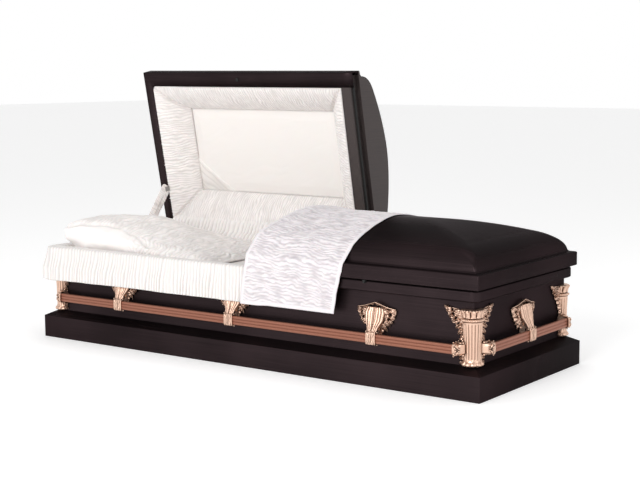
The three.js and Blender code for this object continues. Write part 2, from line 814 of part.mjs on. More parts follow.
// Bracket under the head lid's end flange, which carries the arm's pivot
function makeStayBracket() {
  const t = bracketThickness;
  const outer = -(bodyHalfLength - bracketFromPanel);
  const inner = -(bodyHalfLength - armFromPanel - armThickness - touchGap);
  const top = lidUnderside - touchGap;
  const bottom = hingeZ - armDrop - bracketBelowPivot;
  const middle = hingeY - armFromHinge;
  const half = bracketWidth / 2;
  const parts = [
    block([outer, middle - half, top - t], [inner + t, middle + half, top]),
    block([inner, middle - half, bottom], [inner + t, middle + half, top]),
  ];
  return fromSolid(joined(parts));
}

// Bars: a flat section with rounded ridges on its outer face

function barSection() {
  const inner = barOffset - barThickness / 2;
  const outer = barOffset + barThickness / 2 - barRidge;
  const section = [[inner, barBottom], [outer, barBottom]];
  for (let i = 0; i < barRidges; i++) {
    for (const share of barRidgeSpan) {
      section.push([outer + barRidge, barBottom + (barHeight * (i + share)) / barRidges]);
    }
    if (i < barRidges - 1) section.push([outer, barBottom + (barHeight * (i + 1)) / barRidges]);
  }
  section.push([outer, barTop], [inner, barTop]);
  return section;
}

function barAlong(halfRun) {
  return loft([-halfRun, halfRun].map((along) => barSection().map(([out, z]) => [along, out, z])));
}

// The plain slot that a bar passes through
function barRoom(from, to) {
  const inner = barOffset - barThickness / 2 - touchGap;
  const outer = barOffset + barThickness / 2 + touchGap;
  return block([from, inner, barBottom - touchGap], [to, outer, barTop + touchGap]);
}

// Lugs, drawn with the panel at y = 0 and outwards as +y

function lugOutline() {
  const right = lugEdge.map(([share, z]) => [share * lugHalfWidth, castingHeight(z, lugTop)]);
  const left = right.slice(1).reverse().map(([x, z]) => [-x, z]);
  return [...right, ...left];
}

// Carries an outline from one depth to another.
function relief(outline, from, to, shrink = 1, middle = [0, 0]) {
  const back = outline.map(([x, z]) => [x, from, z]);
  const front = outline.map(([x, z]) => [
    middle[0] + (x - middle[0]) * shrink, to, middle[1] + (z - middle[1]) * shrink]);
  return loft([back, front]);
}

function leaf(centre, length, width, degrees, face) {
  const tilt = THREE.MathUtils.degToRad(degrees);
  const [c, s] = [Math.cos(tilt), Math.sin(tilt)];
  const outline = [];
  for (let i = 0; i < leafSides; i++) {
    const turn = (i / leafSides) * 2 * Math.PI;
    const along = (length / 2) * Math.cos(turn);
    const across = (width / 2) * Math.sin(turn) * (1 - leafPoint * Math.cos(turn));
    outline.push([centre[0] + along * c - across * s, centre[1] + along * s + across * c]);
  }
  return relief(outline, face - leafSink, face + leafRise, leafTopShare, centre);
}

// The fan: a fluted arm that leans out from the plate to the clasp
function makeFan() {
  const reach = barOffset + fanOverBar;
  const steps = fanFlutes * 2;
  const rings = fanStations.map(([height, share, half, depth]) => {
    const out = share * reach;
    const z = castingHeight(height, lugTop);
    const ring = [];
    for (let i = 0; i <= steps; i++) {
      const across = (2 * i) / steps - 1;
      const ridge = i % 2 ? fanRidge : 0;
      ring.push([half * across, out + fanCrown * (1 - across ** 2) + ridge, z]);
    }
    ring.push([half * fanBackShare, out - depth, z], [-half * fanBackShare, out - depth, z]);
    return ring;
  });
  return loft(rings);
}

function makeClasp() {
  const halfDepth = barThickness / 2 + claspWall;
  const bottom = barBottom - claspWall;
  const height = barTop + claspTopWall - bottom;
  const rings = claspStations.map(([rise, widthShare, depthShare]) => {
    const z = bottom + height * rise;
    const half = claspHalfWidth * widthShare;
    const depth = halfDepth * depthShare;
    return [
      [-half, barOffset - depth, z],
      [half, barOffset - depth, z],
      [half, barOffset + depth * claspChamfer, z],
      [half * claspFlat, barOffset + depth, z],
      [-half * claspFlat, barOffset + depth, z],
      [-half, barOffset + depth * claspChamfer, z],
    ];
  });
  return loft(rings);
}

function makeLug() {
  const face = lugPanelY + lugPlateThickness;
  const parts = [relief(lugOutline(), lugPanelY, face), makeFan(), makeClasp()];
  for (const [across, height, length, width, tilt] of lugLeaves) {
    for (const side of [-1, 1]) {
      const centre = [side * across * lugHalfWidth, castingHeight(height, lugTop)];
      const turned = side > 0 ? tilt : 180 - tilt;
      parts.push(leaf(centre, length * lugHalfWidth, width, turned, face));
    }
  }
  const room = toSolid(barRoom(-lugHalfWidth, lugHalfWidth));
  return fromSolid(joined(parts).subtract(room));
}

// Corner castings, drawn with the body in the quarter where x < 0 and y < 0

function makeColumn() {
  const height = cornerTop - panelFoot;
  const sides = columnFlutes * 2;
  const rings = columnStations.map(([share, widthShare]) => {
    const fluted = share > fluteSpan[0] && share < fluteSpan[1];
    const lobed = share > columnLeafFrom;
    const ring = [];
    for (let i = 0; i < sides; i++) {
      const angle = (i / sides) * 2 * Math.PI;
      const cut = fluted && i % 2 ? fluteDepth : 0;
      const lobe = lobed && i % 4 > 1 ? columnLobe : 0;
      const radius = columnRadius * widthShare - cut - lobe;
      const x = radius * Math.cos(angle) - columnCentre;
      const y = radius * Math.sin(angle) - columnCentre;
      ring.push([x, y, panelFoot + height * share]);
    }
    return ring;
  });
  return loft(rings);
}

// The socket that takes the end of a bar, from inside the column out to its mouth
function makeSocket() {
  const halfHeight = barHeight / 2 + socketWall;
  const far = barOffset + barThickness / 2 + socketWall;
  const rings = socketStations.map(([along, share, outShare]) => {
    const x = along * socketReach;
    const half = halfHeight * share;
    const out = far * outShare;
    return [
      [x, touchGap, barMiddleHeight - half],
      [x, out - socketChamfer, barMiddleHeight - half],
      [x, out, barMiddleHeight - half * socketFlat],
      [x, out, barMiddleHeight + half * socketFlat],
      [x, out - socketChamfer, barMiddleHeight + half],
      [x, touchGap, barMiddleHeight + half],
    ];
  });
  return loft(rings);
}

function makeWing() {
  const face = touchGap + wingThickness;
  const outline = wingEdge.map(([share, height]) => [
    share * wingReach, castingHeight(height, cornerTop)]);
  const leaves = wingLeaves.map(([share, height, length, width, tilt]) => {
    const centre = [share * wingReach, castingHeight(height, cornerTop)];
    return leaf(centre, length * wingReach, width, tilt, face);
  });
  const parts = [relief(outline, touchGap, face), makeSocket(), ...leaves];
  return parts.map((part) => remapped(part, (x, y, z) => [-x, y, z]));
}

function makeCornerCasting() {
  const frontWing = makeWing();
  const endWing = frontWing.map((part) => remapped(part, (x, y, z) => [y, x, z]));
  const body = toSolid(block([-baseWidth, -baseWidth, 0], [touchGap, touchGap, bodyHeight]));
  const holeEnd = -(socketReach - socketDepth);
  const hole = barRoom(-2 * socketReach, holeEnd);
  const turned = remapped(hole, (x, y, z) => [y, x, z]);
  const pieces = [makeColumn(), ...frontWing, ...endWing];
  return fromSolid(joined(pieces).subtract(body).subtract(toSolid(hole)).subtract(toSolid(turned)));
}

// Assembly

const casket = new THREE.Group();

function add(parent, name, geometry, material) {
  const mesh = new THREE.Mesh(geometry, material);
  mesh.name = name;
  parent.add(mesh);
  return mesh;
}

add(casket, 'base_moulding', makeBaseMoulding(), paintedSteel);
add(casket, 'body_shell', makeBodyShell(), paintedSteel);
add(casket, 'top_moulding', makeTopMoulding(), paintedSteel);
add(casket, 'gasket', makeGasket(), blackRubber);

// Castings and bars
const cornerGeometry = makeCornerCasting();
const lugGeometry = makeLug();
const ends = [['head', -1], ['foot', 1]];
const sides = [['front', -1], ['back', 1]];
for (const [endName, sx] of ends) {
  for (const [sideName, sy] of sides) {
    const placed = remapped(cornerGeometry,
      (x, y, z) => [sx * (bodyHalfLength + x), sy * (bodyHalfWidth + y), z]);
    add(casket, `corner_casting_${endName}_${sideName}`, placed, castMetal);
  }
}
for (const [sideName, sy] of sides) {
  lugPlaces.forEach((place, i) => {
    const placed = remapped(lugGeometry, (x, y, z) => [place + x, sy * (bodyHalfWidth + y), z]);
    add(casket, `lug_${sideName}_${i + 1}`, placed, castMetal);
  });
  const halfRun = bodyHalfLength - (socketReach - socketDepth) - touchGap;
  const bar = remapped(barAlong(halfRun), (x, y, z) => [x, sy * (bodyHalfWidth + y), z]);
  add(casket, `bar_${sideName}`, bar, copperBar);
}
for (const [endName, sx] of ends) {
  const placed = remapped(lugGeometry, (x, y, z) => [sx * (bodyHalfLength + y), x, z]);
  add(casket, `lug_${endName}`, placed, castMetal);
  const halfRun = bodyHalfWidth - (socketReach - socketDepth) - touchGap;
  const bar = remapped(barAlong(halfRun), (x, y, z) => [sx * (bodyHalfLength + y), x, z]);
  add(casket, `bar_${endName}`, bar, copperBar);
}

// Interior
add(casket, 'lining_front', makeSideLining(-1), whiteCloth);
add(casket, 'lining_back', makeSideLining(1), whiteCloth);
add(casket, 'lining_head', makeEndLining(-1), whiteCloth);
add(casket, 'lining_foot', makeEndLining(1), whiteCloth);
add(casket, 'bed_rail_front', makeBedRail(-1), plainSteel);
add(casket, 'bed_rail_back', makeBedRail(1), plainSteel);
add(casket, 'mattress', makeMattress(), whiteCloth);
add(casket, 'pillow', makePillow(), whiteCloth);
add(casket, 'skirt', makeSkirt(), whiteCloth);
hingePlaces().forEach((x, i) => add(casket, `hinge_body_leaf_${i + 1}`, makeBodyLeaf(x), plainSteel));

// Head lid, drawn closed about the hinge pin and then swung open
const headLid = new THREE.Group();
headLid.position.set(0, hingeY, hingeZ);
headLid.rotation.x = -openAngle;
const headLidFrame = new THREE.Group();
headLidFrame.position.set(0, -hingeY, -hingeZ);
headLid.add(headLidFrame);
casket.add(headLid);
add(headLidFrame, 'head_lid_shell', makeLid(-1), paintedSteel);
add(headLidFrame, 'head_lid_header', makeHeadHeader(), headerSteel);
add(headLidFrame, 'head_lid_recess_strip', makeRecessStrip(), blackRubber);
['front', 'split', 'back', 'head'].forEach(
  (name, side) => add(headLidFrame, `lid_border_${name}`, makeBorder(side), whiteCloth));
add(headLidFrame, 'lid_lining_panel', makeLiningPanel(), whiteCloth);
add(headLidFrame, 'stay_bracket', makeStayBracket(), plainSteel);

// Foot lid, closed
add(casket, 'foot_lid_shell', makeLid(1), paintedSteel);
add(casket, 'foot_lid_header', makeFootHeader(), headerSteel);
add(casket, 'throw', makeThrow(), throwCloth);
hingePlaces().forEach((x, i) => {
  const parent = x < splitX ? headLidFrame : casket;
  add(parent, `hinge_lid_leaf_${i + 1}`, makeLidLeaf(x), plainSteel);
});

// The arm's pivot swings with the head lid, and its far end stays at the pivot's closed height.
const closedPivot = new THREE.Vector3(0, -armFromHinge, -armDrop);
const openPivot = closedPivot.clone().applyAxisAngle(new THREE.Vector3(1, 0, 0), -openAngle);
const stayArm = new THREE.Group();
stayArm.position.set(-(bodyHalfLength - armFromPanel), hingeY + openPivot.y, hingeZ + openPivot.z);
stayArm.rotation.x = Math.asin((openPivot.z - closedPivot.z) / armLength);
casket.add(stayArm);
add(stayArm, 'stay_arm', makeStayArm(), whiteCloth);

export default casket;
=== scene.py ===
import bpy, bmesh, json, math, random
from mathutils import Vector, Matrix, noise


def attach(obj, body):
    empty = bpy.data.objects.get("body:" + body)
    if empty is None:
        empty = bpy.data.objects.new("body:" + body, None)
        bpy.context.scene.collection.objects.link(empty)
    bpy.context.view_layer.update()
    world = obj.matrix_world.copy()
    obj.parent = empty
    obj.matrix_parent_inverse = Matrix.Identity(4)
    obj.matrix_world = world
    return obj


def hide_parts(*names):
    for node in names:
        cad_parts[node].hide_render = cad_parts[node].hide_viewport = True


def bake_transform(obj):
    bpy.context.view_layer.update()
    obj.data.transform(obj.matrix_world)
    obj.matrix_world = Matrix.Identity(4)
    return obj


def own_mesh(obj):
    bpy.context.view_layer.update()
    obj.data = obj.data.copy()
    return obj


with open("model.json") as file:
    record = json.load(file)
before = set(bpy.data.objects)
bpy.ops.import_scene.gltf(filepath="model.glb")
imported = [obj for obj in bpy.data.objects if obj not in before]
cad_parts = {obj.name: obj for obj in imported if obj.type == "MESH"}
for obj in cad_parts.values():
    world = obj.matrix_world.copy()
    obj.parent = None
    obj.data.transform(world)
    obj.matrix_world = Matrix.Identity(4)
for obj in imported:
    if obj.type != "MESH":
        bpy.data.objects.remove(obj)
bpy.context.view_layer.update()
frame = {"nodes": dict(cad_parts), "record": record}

scene = bpy.context.scene
nodes = frame["nodes"]


# small helpers for meshes

def newObject(name, bm, material, sharpAngle=None):
    mesh = bpy.data.meshes.new(name)
    bm.to_mesh(mesh)
    bm.free()
    for face in mesh.polygons:
        face.use_smooth = True
    if sharpAngle is not None:
        mesh.set_sharp_from_angle(angle=math.radians(sharpAngle))
    obj = bpy.data.objects.new(name, mesh)
    scene.collection.objects.link(obj)
    mesh.materials.append(material)
    return obj


def shapedGrid(columns, rows, place, merge=0.00002):
    bm = bmesh.new()  # a flat grid, each point of which is then carried to its place on the piece
    bmesh.ops.create_grid(bm, x_segments=columns, y_segments=rows, size=0.5, calc_uvs=True)
    for v in bm.verts:
        v.co = place(v.co.x + 0.5, v.co.y + 0.5)
    if merge:
        bmesh.ops.remove_doubles(bm, verts=bm.verts, dist=merge)
    return bm


def clothGrid(columns, rows, place, merge=0.00002):
    bm = bmesh.new()  # as shapedGrid, for cloth: each point also keeps how high it stands on its fold, which the cloth material turns into painted shade in the valleys
    bmesh.ops.create_grid(bm, x_segments=columns, y_segments=rows, size=0.5, calc_uvs=True)
    crest = bm.verts.layers.float.new("crest")
    for v in bm.verts:
        v.co, v[crest] = place(v.co.x + 0.5, v.co.y + 0.5)
    if merge:
        bmesh.ops.remove_doubles(bm, verts=bm.verts, dist=merge)
    return bm


def closeUp(bm):
    bmesh.ops.remove_doubles(bm, verts=bm.verts, dist=0.00002)
    bmesh.ops.holes_fill(bm, edges=bm.edges, sides=0)
    bmesh.ops.recalc_face_normals(bm, faces=bm.faces)
    return bm


def addBevel(obj, width, segments=2, angle=30):
    mod = obj.modifiers.new("bevel", "BEVEL")
    mod.width = width
    mod.segments = segments
    mod.limit_method = "ANGLE"
    mod.angle_limit = math.radians(angle)
    mod.harden_normals = True


def addWall(obj, thickness, even=True):
    mod = obj.modifiers.new("wall", "SOLIDIFY")
    mod.thickness = thickness
    mod.offset = -1
    mod.use_even_offset = even


def fbm(x, y, z=0.0, octaves=3):
    return noise.fractal(Vector((x, y, z)), 1.0, 2.0, octaves, noise_basis="PERLIN_ORIGINAL")


def mix(a, b, t):
    return a + (b - a) * t


def ease(t):
    t = min(max(t, 0.0), 1.0)
    return t * t * (3 - 2 * t)


# camera, light and floor

cameraPlace = {"position": (3.3234, -4.2695, 1.1311), "yaw": 34.05, "pitch": 7.26, "roll": -0.1,
               "lens": 76.4, "sensor": 36, "shiftX": -0.1067}


def makeCamera():
    yaw, pitch = math.radians(cameraPlace["yaw"]), math.radians(cameraPlace["pitch"])
    level = math.cos(pitch)
    forward = Vector((-math.sin(yaw) * level, math.cos(yaw) * level, -math.sin(pitch)))
    data = bpy.data.cameras.new("camera")
    data.lens = cameraPlace["lens"]
    data.sensor_width = cameraPlace["sensor"]
    data.shift_x = cameraPlace["shiftX"]
    camera = bpy.data.objects.new("camera", data)
    turn = forward.to_track_quat("-Z", "Y").to_matrix().to_4x4()
    roll = Matrix.Rotation(math.radians(cameraPlace["roll"]), 4, "Z")
    camera.matrix_world = Matrix.Translation(cameraPlace["position"]) @ turn @ roll
    scene.collection.objects.link(camera)
    scene.camera = camera


makeCamera()

lightPlan = {
    "key": {"at": (1.0, -5.4, 2.5), "size": 2.4, "power": 164},
    "side": {"at": (4.6, -0.6, 2.2), "size": 1.6, "power": 22},
    "top": {"at": (0.2, 1.2, 4.2), "size": 3.0, "power": 16},
}
lightAim = Vector((0, 0, 0.4))
skyShare = {"horizon": 1.0, "zenith": 0.58, "from": 0.12, "to": 0.70}


def makeLights():
    for name, plan in lightPlan.items():
        data = bpy.data.lights.new(name, "AREA")
        data.shape = "SQUARE"
        data.size = plan["size"]
        data.energy = plan["power"]
        light = bpy.data.objects.new(name, data)
        light.location = plan["at"]
        aim = lightAim - Vector(plan["at"])
        light.rotation_euler = aim.to_track_quat("-Z", "Y").to_euler()
        scene.collection.objects.link(light)
    world = bpy.data.worlds.new("studio")
    world.use_nodes = True
    tree = world.node_tree
    back = tree.nodes["Background"]
    back.inputs["Color"].default_value = (1.0, 1.0, 1.0, 1)
    way = tree.nodes.new("ShaderNodeTexCoord")
    apart = tree.nodes.new("ShaderNodeSeparateXYZ")
    dim = tree.nodes.new("ShaderNodeMapRange")
    tree.links.new(way.outputs["Generated"], apart.inputs[0])
    tree.links.new(apart.outputs["Z"], dim.inputs["Value"])
    for key, value in (("From Min", skyShare["from"]), ("From Max", skyShare["to"]),
                       ("To Min", skyShare["horizon"]), ("To Max", skyShare["zenith"])):
        dim.inputs[key].default_value = value
    tree.links.new(dim.outputs[0], back.inputs["Strength"])
    scene.world = world
    scene.view_settings.view_transform = "Standard"


makeLights()


# materials

def newMaterial(name):
    material = bpy.data.materials.new(name)
    material.use_nodes = True
    tree = material.node_tree
    shader = tree.nodes["Principled BSDF"]
    return material, tree, shader


def node(tree, kind, inputs=None, **settings):
    made = tree.nodes.new(kind)
    for key, value in settings.items():
        setattr(made, key, value)
    for key, value in (inputs or {}).items():
        if isinstance(value, bpy.types.NodeSocket):
            tree.links.new(value, made.inputs[key])
        else:
            made.inputs[key].default_value = value
    return made


def grainOf(tree, scale, detail):
    place = node(tree, "ShaderNodeTexCoord").outputs["Object"]
    drawn = node(tree, "ShaderNodeMapping", {"Vector": place, "Scale": scale}).outputs[0]
    return node(tree, "ShaderNodeTexNoise", {"Vector": drawn, "Scale": 1.0, "Detail": detail}).outputs[0]


def ramp(tree, value, low, high, fromValue=0.3, toValue=0.7):
    made = node(tree, "ShaderNodeMapRange", {"Value": value, "From Min": fromValue, "From Max": toValue,
                                              "To Min": low, "To Max": high})
    return made.outputs[0]


def blendColours(tree, factor, first, second):
    made = node(tree, "ShaderNodeMix", data_type="RGBA")
    made.inputs[6].default_value = (*first, 1)
    made.inputs[7].default_value = (*second, 1)
    tree.links.new(factor, made.inputs[0])
    return made.outputs[2]


def bump(tree, shader, height, strength, distance, after=None):
    made = node(tree, "ShaderNodeBump", {"Height": height, "Strength": strength, "Distance": distance})
    if after is not None:
        tree.links.new(after, made.inputs["Normal"])
    tree.links.new(made.outputs[0], shader.inputs["Normal"])
    return made.outputs[0]


def setShader(shader, **values):
    for key, value in values.items():
        shader.inputs[key.replace("_", " ")].default_value = value


brushedPaint = {"dark": (0.017, 0.0120, 0.0130), "light": (0.038, 0.0260, 0.0280), "rough": (0.32, 0.46),
                "lines": (3.0, 900.0, 900.0), "clouds": (2.2, 2.2, 2.2), "bump": (0.10, 0.0006),
                "metallic": 0.85, "specular": 0.3, "tint": (0.30, 0.27, 0.28, 1)}


def makeShellPaint():
    s = brushedPaint
    material, tree, shader = newMaterial("brushedShellPaint")
    lines = grainOf(tree, s["lines"], 4.0)
    clouds = grainOf(tree, s["clouds"], 3.0)
    shade = node(tree, "ShaderNodeMath", {0: lines, 1: clouds}, operation="ADD").outputs[0]
    colour = blendColours(tree, ramp(tree, shade, 0, 1, 0.75, 1.25), s["dark"], s["light"])
    tree.links.new(colour, shader.inputs["Base Color"])
    tree.links.new(ramp(tree, lines, *s["rough"]), shader.inputs["Roughness"])
    setShader(shader, Metallic=s["metallic"], Specular_IOR_Level=s["specular"], Specular_Tint=s["tint"])
    bump(tree, shader, lines, *s["bump"])
    return material


castFinish = {"grain": (160, 160, 160), "reach": 0.007, "hollow": (0.060, 0.028, 0.020),
              "open": (0.76, 0.52, 0.40), "rough": (0.32, 0.48), "bump": (0.18, 0.0008)}


def makeCastMetal():
    s = castFinish
    material, tree, shader = newMaterial("roseGoldCasting")
    grain = grainOf(tree, s["grain"], 4.0)
    hollow = node(tree, "ShaderNodeAmbientOcclusion", {"Distance": s["reach"]}, samples=8).outputs["AO"]
    colour = blendColours(tree, ramp(tree, hollow, 0, 1, 0.42, 0.97), s["hollow"], s["open"])
    tree.links.new(colour, shader.inputs["Base Color"])
    tree.links.new(ramp(tree, grain, *s["rough"]), shader.inputs["Roughness"])
    setShader(shader, Metallic=1.0)
    bump(tree, shader, grain, *s["bump"])
    return material


barFinish = {"scale": (500, 500, 500), "detail": 2.0, "dark": (0.27, 0.105, 0.066),
             "light": (0.36, 0.155, 0.105), "rough": (0.36, 0.5), "metallic": 0.75, "bump": (0.08, 0.0004)}
headerFinish = {"scale": (400, 8, 400), "detail": 4.0, "dark": (0.040, 0.031, 0.030),
                "light": (0.062, 0.048, 0.046), "rough": (0.34, 0.5), "metallic": 0.5, "bump": (0.12, 0.0005)}


def makeGrained(name, finish):
    material, tree, shader = newMaterial(name)
    grain = grainOf(tree, finish["scale"], finish["detail"])
    colour = blendColours(tree, ramp(tree, grain, 0, 1), finish["dark"], finish["light"])
    tree.links.new(colour, shader.inputs["Base Color"])
    tree.links.new(ramp(tree, grain, *finish["rough"]), shader.inputs["Roughness"])
    setShader(shader, Metallic=finish["metallic"])
    bump(tree, shader, grain, *finish["bump"])
    return material


def makePlain(name, colour, rough, metallic):
    darker = tuple(c * 0.75 for c in colour)
    return makeGrained(name, {"scale": (300, 300, 300), "detail": 3.0, "dark": darker, "light": colour,
                              "rough": (rough * 0.85, min(1, rough * 1.15)), "metallic": metallic,
                              "bump": (0.12, 0.0005)})


crepe = {"threads": (2600, 2600, 2600), "rough": 0.82, "sheen": 0.25, "sheenRough": 0.4, "under": 0.05,
         "underReach": 0.004, "crinkleBump": (0.5, 0.0018), "threadBump": (0.12, 0.0003)}


def makeCloth(name, shade, light, crinkle):
    s = crepe  # darker in its folds, with a small irregular crinkle: painted shade, from the crest attribute and the crinkle noise
    material, tree, shader = newMaterial(name)
    uv = node(tree, "ShaderNodeTexCoord").outputs["UV"]
    wrinkled = node(tree, "ShaderNodeMapping", {"Vector": uv, "Scale": crinkle}).outputs[0]
    small = node(tree, "ShaderNodeTexNoise", {"Vector": wrinkled, "Scale": 1.0, "Detail": 4.0,
                                              "Distortion": 0.6}).outputs[0]
    crest = node(tree, "ShaderNodeAttribute", attribute_type="GEOMETRY",
                 attribute_name="crest").outputs["Fac"]
    threads = grainOf(tree, s["threads"], 1.0)
    # the colour goes to the shade colour where crest and crinkle are low: painted shade in folds and crinkles
    both = node(tree, "ShaderNodeMath", {0: crest, 1: ramp(tree, small, -0.12, 0.12, 0.3, 0.7)},
                operation="ADD").outputs[0]
    tree.links.new(blendColours(tree, ramp(tree, both, 0, 1, 0.05, 0.75), shade, light),
                   shader.inputs["Base Color"])
    setShader(shader, Roughness=s["rough"], Sheen_Weight=s["sheen"], Sheen_Roughness=s["sheenRough"],
              Subsurface_Weight=s["under"], Subsurface_Scale=s["underReach"])
    first = bump(tree, shader, small, *s["crinkleBump"])
    bump(tree, shader, threads, *s["threadBump"], after=first)
    return material


shellPaint = makeShellPaint()
castMetal = makeCastMetal()
barMetal = makeGrained("copperBar", barFinish)
headerPlate = makeGrained("brushedHeaderPlate", headerFinish)
blackRubber = makePlain("blackRubber", (0.008, 0.008, 0.008), 0.7, 0)
plainSteel = makePlain("hingeSteel", (0.35, 0.34, 0.33), 0.4, 0.9)
darkHole = makePlain("darkLatch", (0.004, 0.004, 0.004), 0.8, 0)
liningCloth = makeCloth("liningCrepe", (0.64, 0.605, 0.585), (0.865, 0.825, 0.805), (260, 90, 1))
plainCloth = makeCloth("panelCrepe", (0.62, 0.585, 0.56), (0.80, 0.76, 0.73), (120, 120, 1))
throwCloth = makeCloth("throwCrepe", (0.46, 0.42, 0.44), (0.735, 0.690, 0.705), (60, 260, 1))
print("materials done")

slotLook = {"painted_shell": shellPaint, "header_plate": headerPlate, "cast_metal": castMetal,
            "bar_metal": barMetal, "rubber_strip": blackRubber, "plain_steel": plainSteel,
            "lining_cloth": liningCloth, "throw_cloth": throwCloth}
for part in frame["record"]["subparts"]:
    look = slotLook[part["material_slot"]]
    mesh = nodes[part["node"]].data
    mesh.materials.clear()
    mesh.materials.append(look)


floorShape = {"half": 30, "shade": (0.95, 0.95, 0.95, 1), "rough": 0.8, "glow": 0.26}


def makeFloor():
    s = floorShape
    floorPaint, tree, shader = newMaterial("paleFloor")
    setShader(shader, Base_Color=s["shade"], Roughness=s["rough"],
              Emission_Color=(1.0, 1.0, 1.0, 1), Emission_Strength=s["glow"])
    bm = bmesh.new()
    bmesh.ops.create_grid(bm, x_segments=1, y_segments=1, size=s["half"])
    floor = newObject("floor", bm, floorPaint)


makeFloor()


# sizes that several pieces share, as in the frame

casket = {"panelX": 1.018, "panelY": 0.3365, "panelFoot": 0.114, "baseX": 1.067, "baseY": 0.381,
          "baseFace": 0.090, "mouldingX": 1.044, "mouldingY": 0.3625, "mouldingLow": 0.339,
          "mouldingTop": 0.378, "rimX": 1.054, "rimY": 0.3725, "lidLow": 0.3826, "rimTop": 0.435,
          "splitX": 0.107, "splitGap": 0.002, "hingeY": 0.367, "hingeZ": 0.3805, "openAngle": 79.3,
          "wall": 0.0012}
hingePoint = Vector((0, casket["hingeY"], casket["hingeZ"]))
swingOpen = (Matrix.Translation(hingePoint) @ Matrix.Rotation(math.radians(-casket["openAngle"]), 4, "X")
             @ Matrix.Translation(-hingePoint))


def roundedLoop(halfX, halfY, radius, steps):
    corners = [(-1, -1, 180), (1, -1, 270), (1, 1, 0), (-1, 1, 90)]
    points = []
    for sx, sy, start in corners:
        for i in range(steps + 1):
            angle = math.radians(start + 90 * i / steps)
            points.append((sx * (halfX - radius) + radius * math.cos(angle),
                           sy * (halfY - radius) + radius * math.sin(angle)))
    return points


def sweptFrame(name, loops, heights, bevelWidth):
    around, levels = len(loops[0]), len(loops)

    def place(u, v):
        i, j = round(u * around) % around, round(v * levels) % levels
        return Vector((*loops[j][i], heights[j]))

    bm = shapedGrid(around, levels, place)
    bmesh.ops.recalc_face_normals(bm, faces=bm.faces)
    obj = newObject(name, bm, shellPaint, 25)
    addBevel(obj, bevelWidth, 3, 28)
    return obj


mouldingShape = {"baseBevel": 0.0022, "topBevel": 0.0016, "cornerRadius": 0.003, "cornerSteps": 4,
                 "leastRadius": 0.0008, "reach": 0.026, "lip": 0.002}


def makeMouldings():
    s, t, c = mouldingShape, casket["wall"], casket
    inX, inY = c["baseX"] - c["panelX"], c["baseY"] - c["panelY"]
    levels = [(0.0, 0.0), (0.0, c["baseFace"]), (0.994, c["panelFoot"]), (0.994, c["panelFoot"] - t),
              (0.03, c["baseFace"] - t), (0.03, t), (0.75, t), (0.75, 0.0)]
    loops = [roundedLoop(c["baseX"] - share * inX, c["baseY"] - share * inY, s["cornerRadius"],
                         s["cornerSteps"]) for share, z in levels]
    base = sweptFrame("baseMoulding", loops, [z for share, z in levels], s["baseBevel"])
    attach(base, "casket_body")
    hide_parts("base_moulding")

    low, top, reach, w = c["mouldingLow"], c["mouldingTop"], s["reach"], s["lip"]
    section = [(0.0003, low), (reach - 0.004, low), (reach, low + 0.004), (reach, top - 0.004),
               (reach - 0.004, top), (-t, top), (-t, top - w), (reach - w - 0.004, top - w),
               (reach - w, top - 0.006), (reach - w, low + 0.006), (reach - 0.006, low + w),
               (0.0003, low + w)]
    loops = [roundedLoop(c["panelX"] + out, c["panelY"] + out, max(s["cornerRadius"] + out, s["leastRadius"]),
                         s["cornerSteps"]) for out, z in section]
    rim = sweptFrame("rimMoulding", loops, [z for out, z in section], s["topBevel"])
    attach(rim, "casket_body")
    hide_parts("top_moulding")


makeMouldings()
print("mouldings done")

lidShape = {"ledge": 0.0145, "ledgeDrop": 0.002, "cove": 0.012, "coveHeight": 0.010, "shoulder": 0.078,
            "shoulderEnd": 0.0965, "shoulderHeight": 0.072, "crownHeight": 0.051, "crownEndRun": 0.330,
            "crownPower": 1.8, "flange": 0.0435, "frontFlange": 0.0605, "cornerRadius": 0.034,
            "coveSteps": 8, "shoulderSteps": 16, "crownSteps": 24}


def lidProfile():
    s, low, top = lidShape, casket["lidLow"], casket["rimTop"]
    flat = s["ledge"] + s["cove"]
    points = [(s["flange"], low), (0.003, low), (0.0009, low + 0.0009), (0.0, low + 0.003),
              (0.0, (low + top) / 2), (0.0, top - 0.004), (0.0012, top - 0.0012), (0.004, top),
              (s["ledge"] - 0.003, top + 0.0016)]
    for i in range(1, s["coveSteps"] + 1):  # the cove that lifts the shoulder off the rim
        angle = math.pi / 2 * i / s["coveSteps"]
        points.append((s["ledge"] + s["cove"] * math.sin(angle),
                       top + s["ledgeDrop"] + s["coveHeight"] * (1 - math.cos(angle))))
    foot = (flat, top + s["coveHeight"] + s["ledgeDrop"])
    bend = (foot[0] + s["shoulder"] * 0.13, foot[1] + s["shoulderHeight"] * 0.72)
    end = (foot[0] + s["shoulder"], foot[1] + s["shoulderHeight"])
    for i in range(1, s["shoulderSteps"] + 1):
        t = i / s["shoulderSteps"]
        points.append(tuple((1 - t) ** 2 * a + 2 * t * (1 - t) * b + t * t * c
                            for a, b, c in zip(foot, bend, end)))
    run = casket["rimY"] - end[0]
    for i in range(1, s["crownSteps"] + 1):
        t = i / s["crownSteps"]
        points.append((end[0] + run * t, end[1] + s["crownHeight"] * (1 - (1 - t) ** s["crownPower"])))
    return points


def lidEndRun(inset):
    s = lidShape
    flat, crown = s["ledge"] + s["cove"], s["ledge"] + s["cove"] + s["shoulder"]
    if inset <= flat:
        return inset
    if inset <= crown:
        return flat + (inset - flat) * s["shoulderEnd"] / s["shoulder"]
    return flat + s["shoulderEnd"] + (inset - crown) / (casket["rimY"] - crown) * s["crownEndRun"]


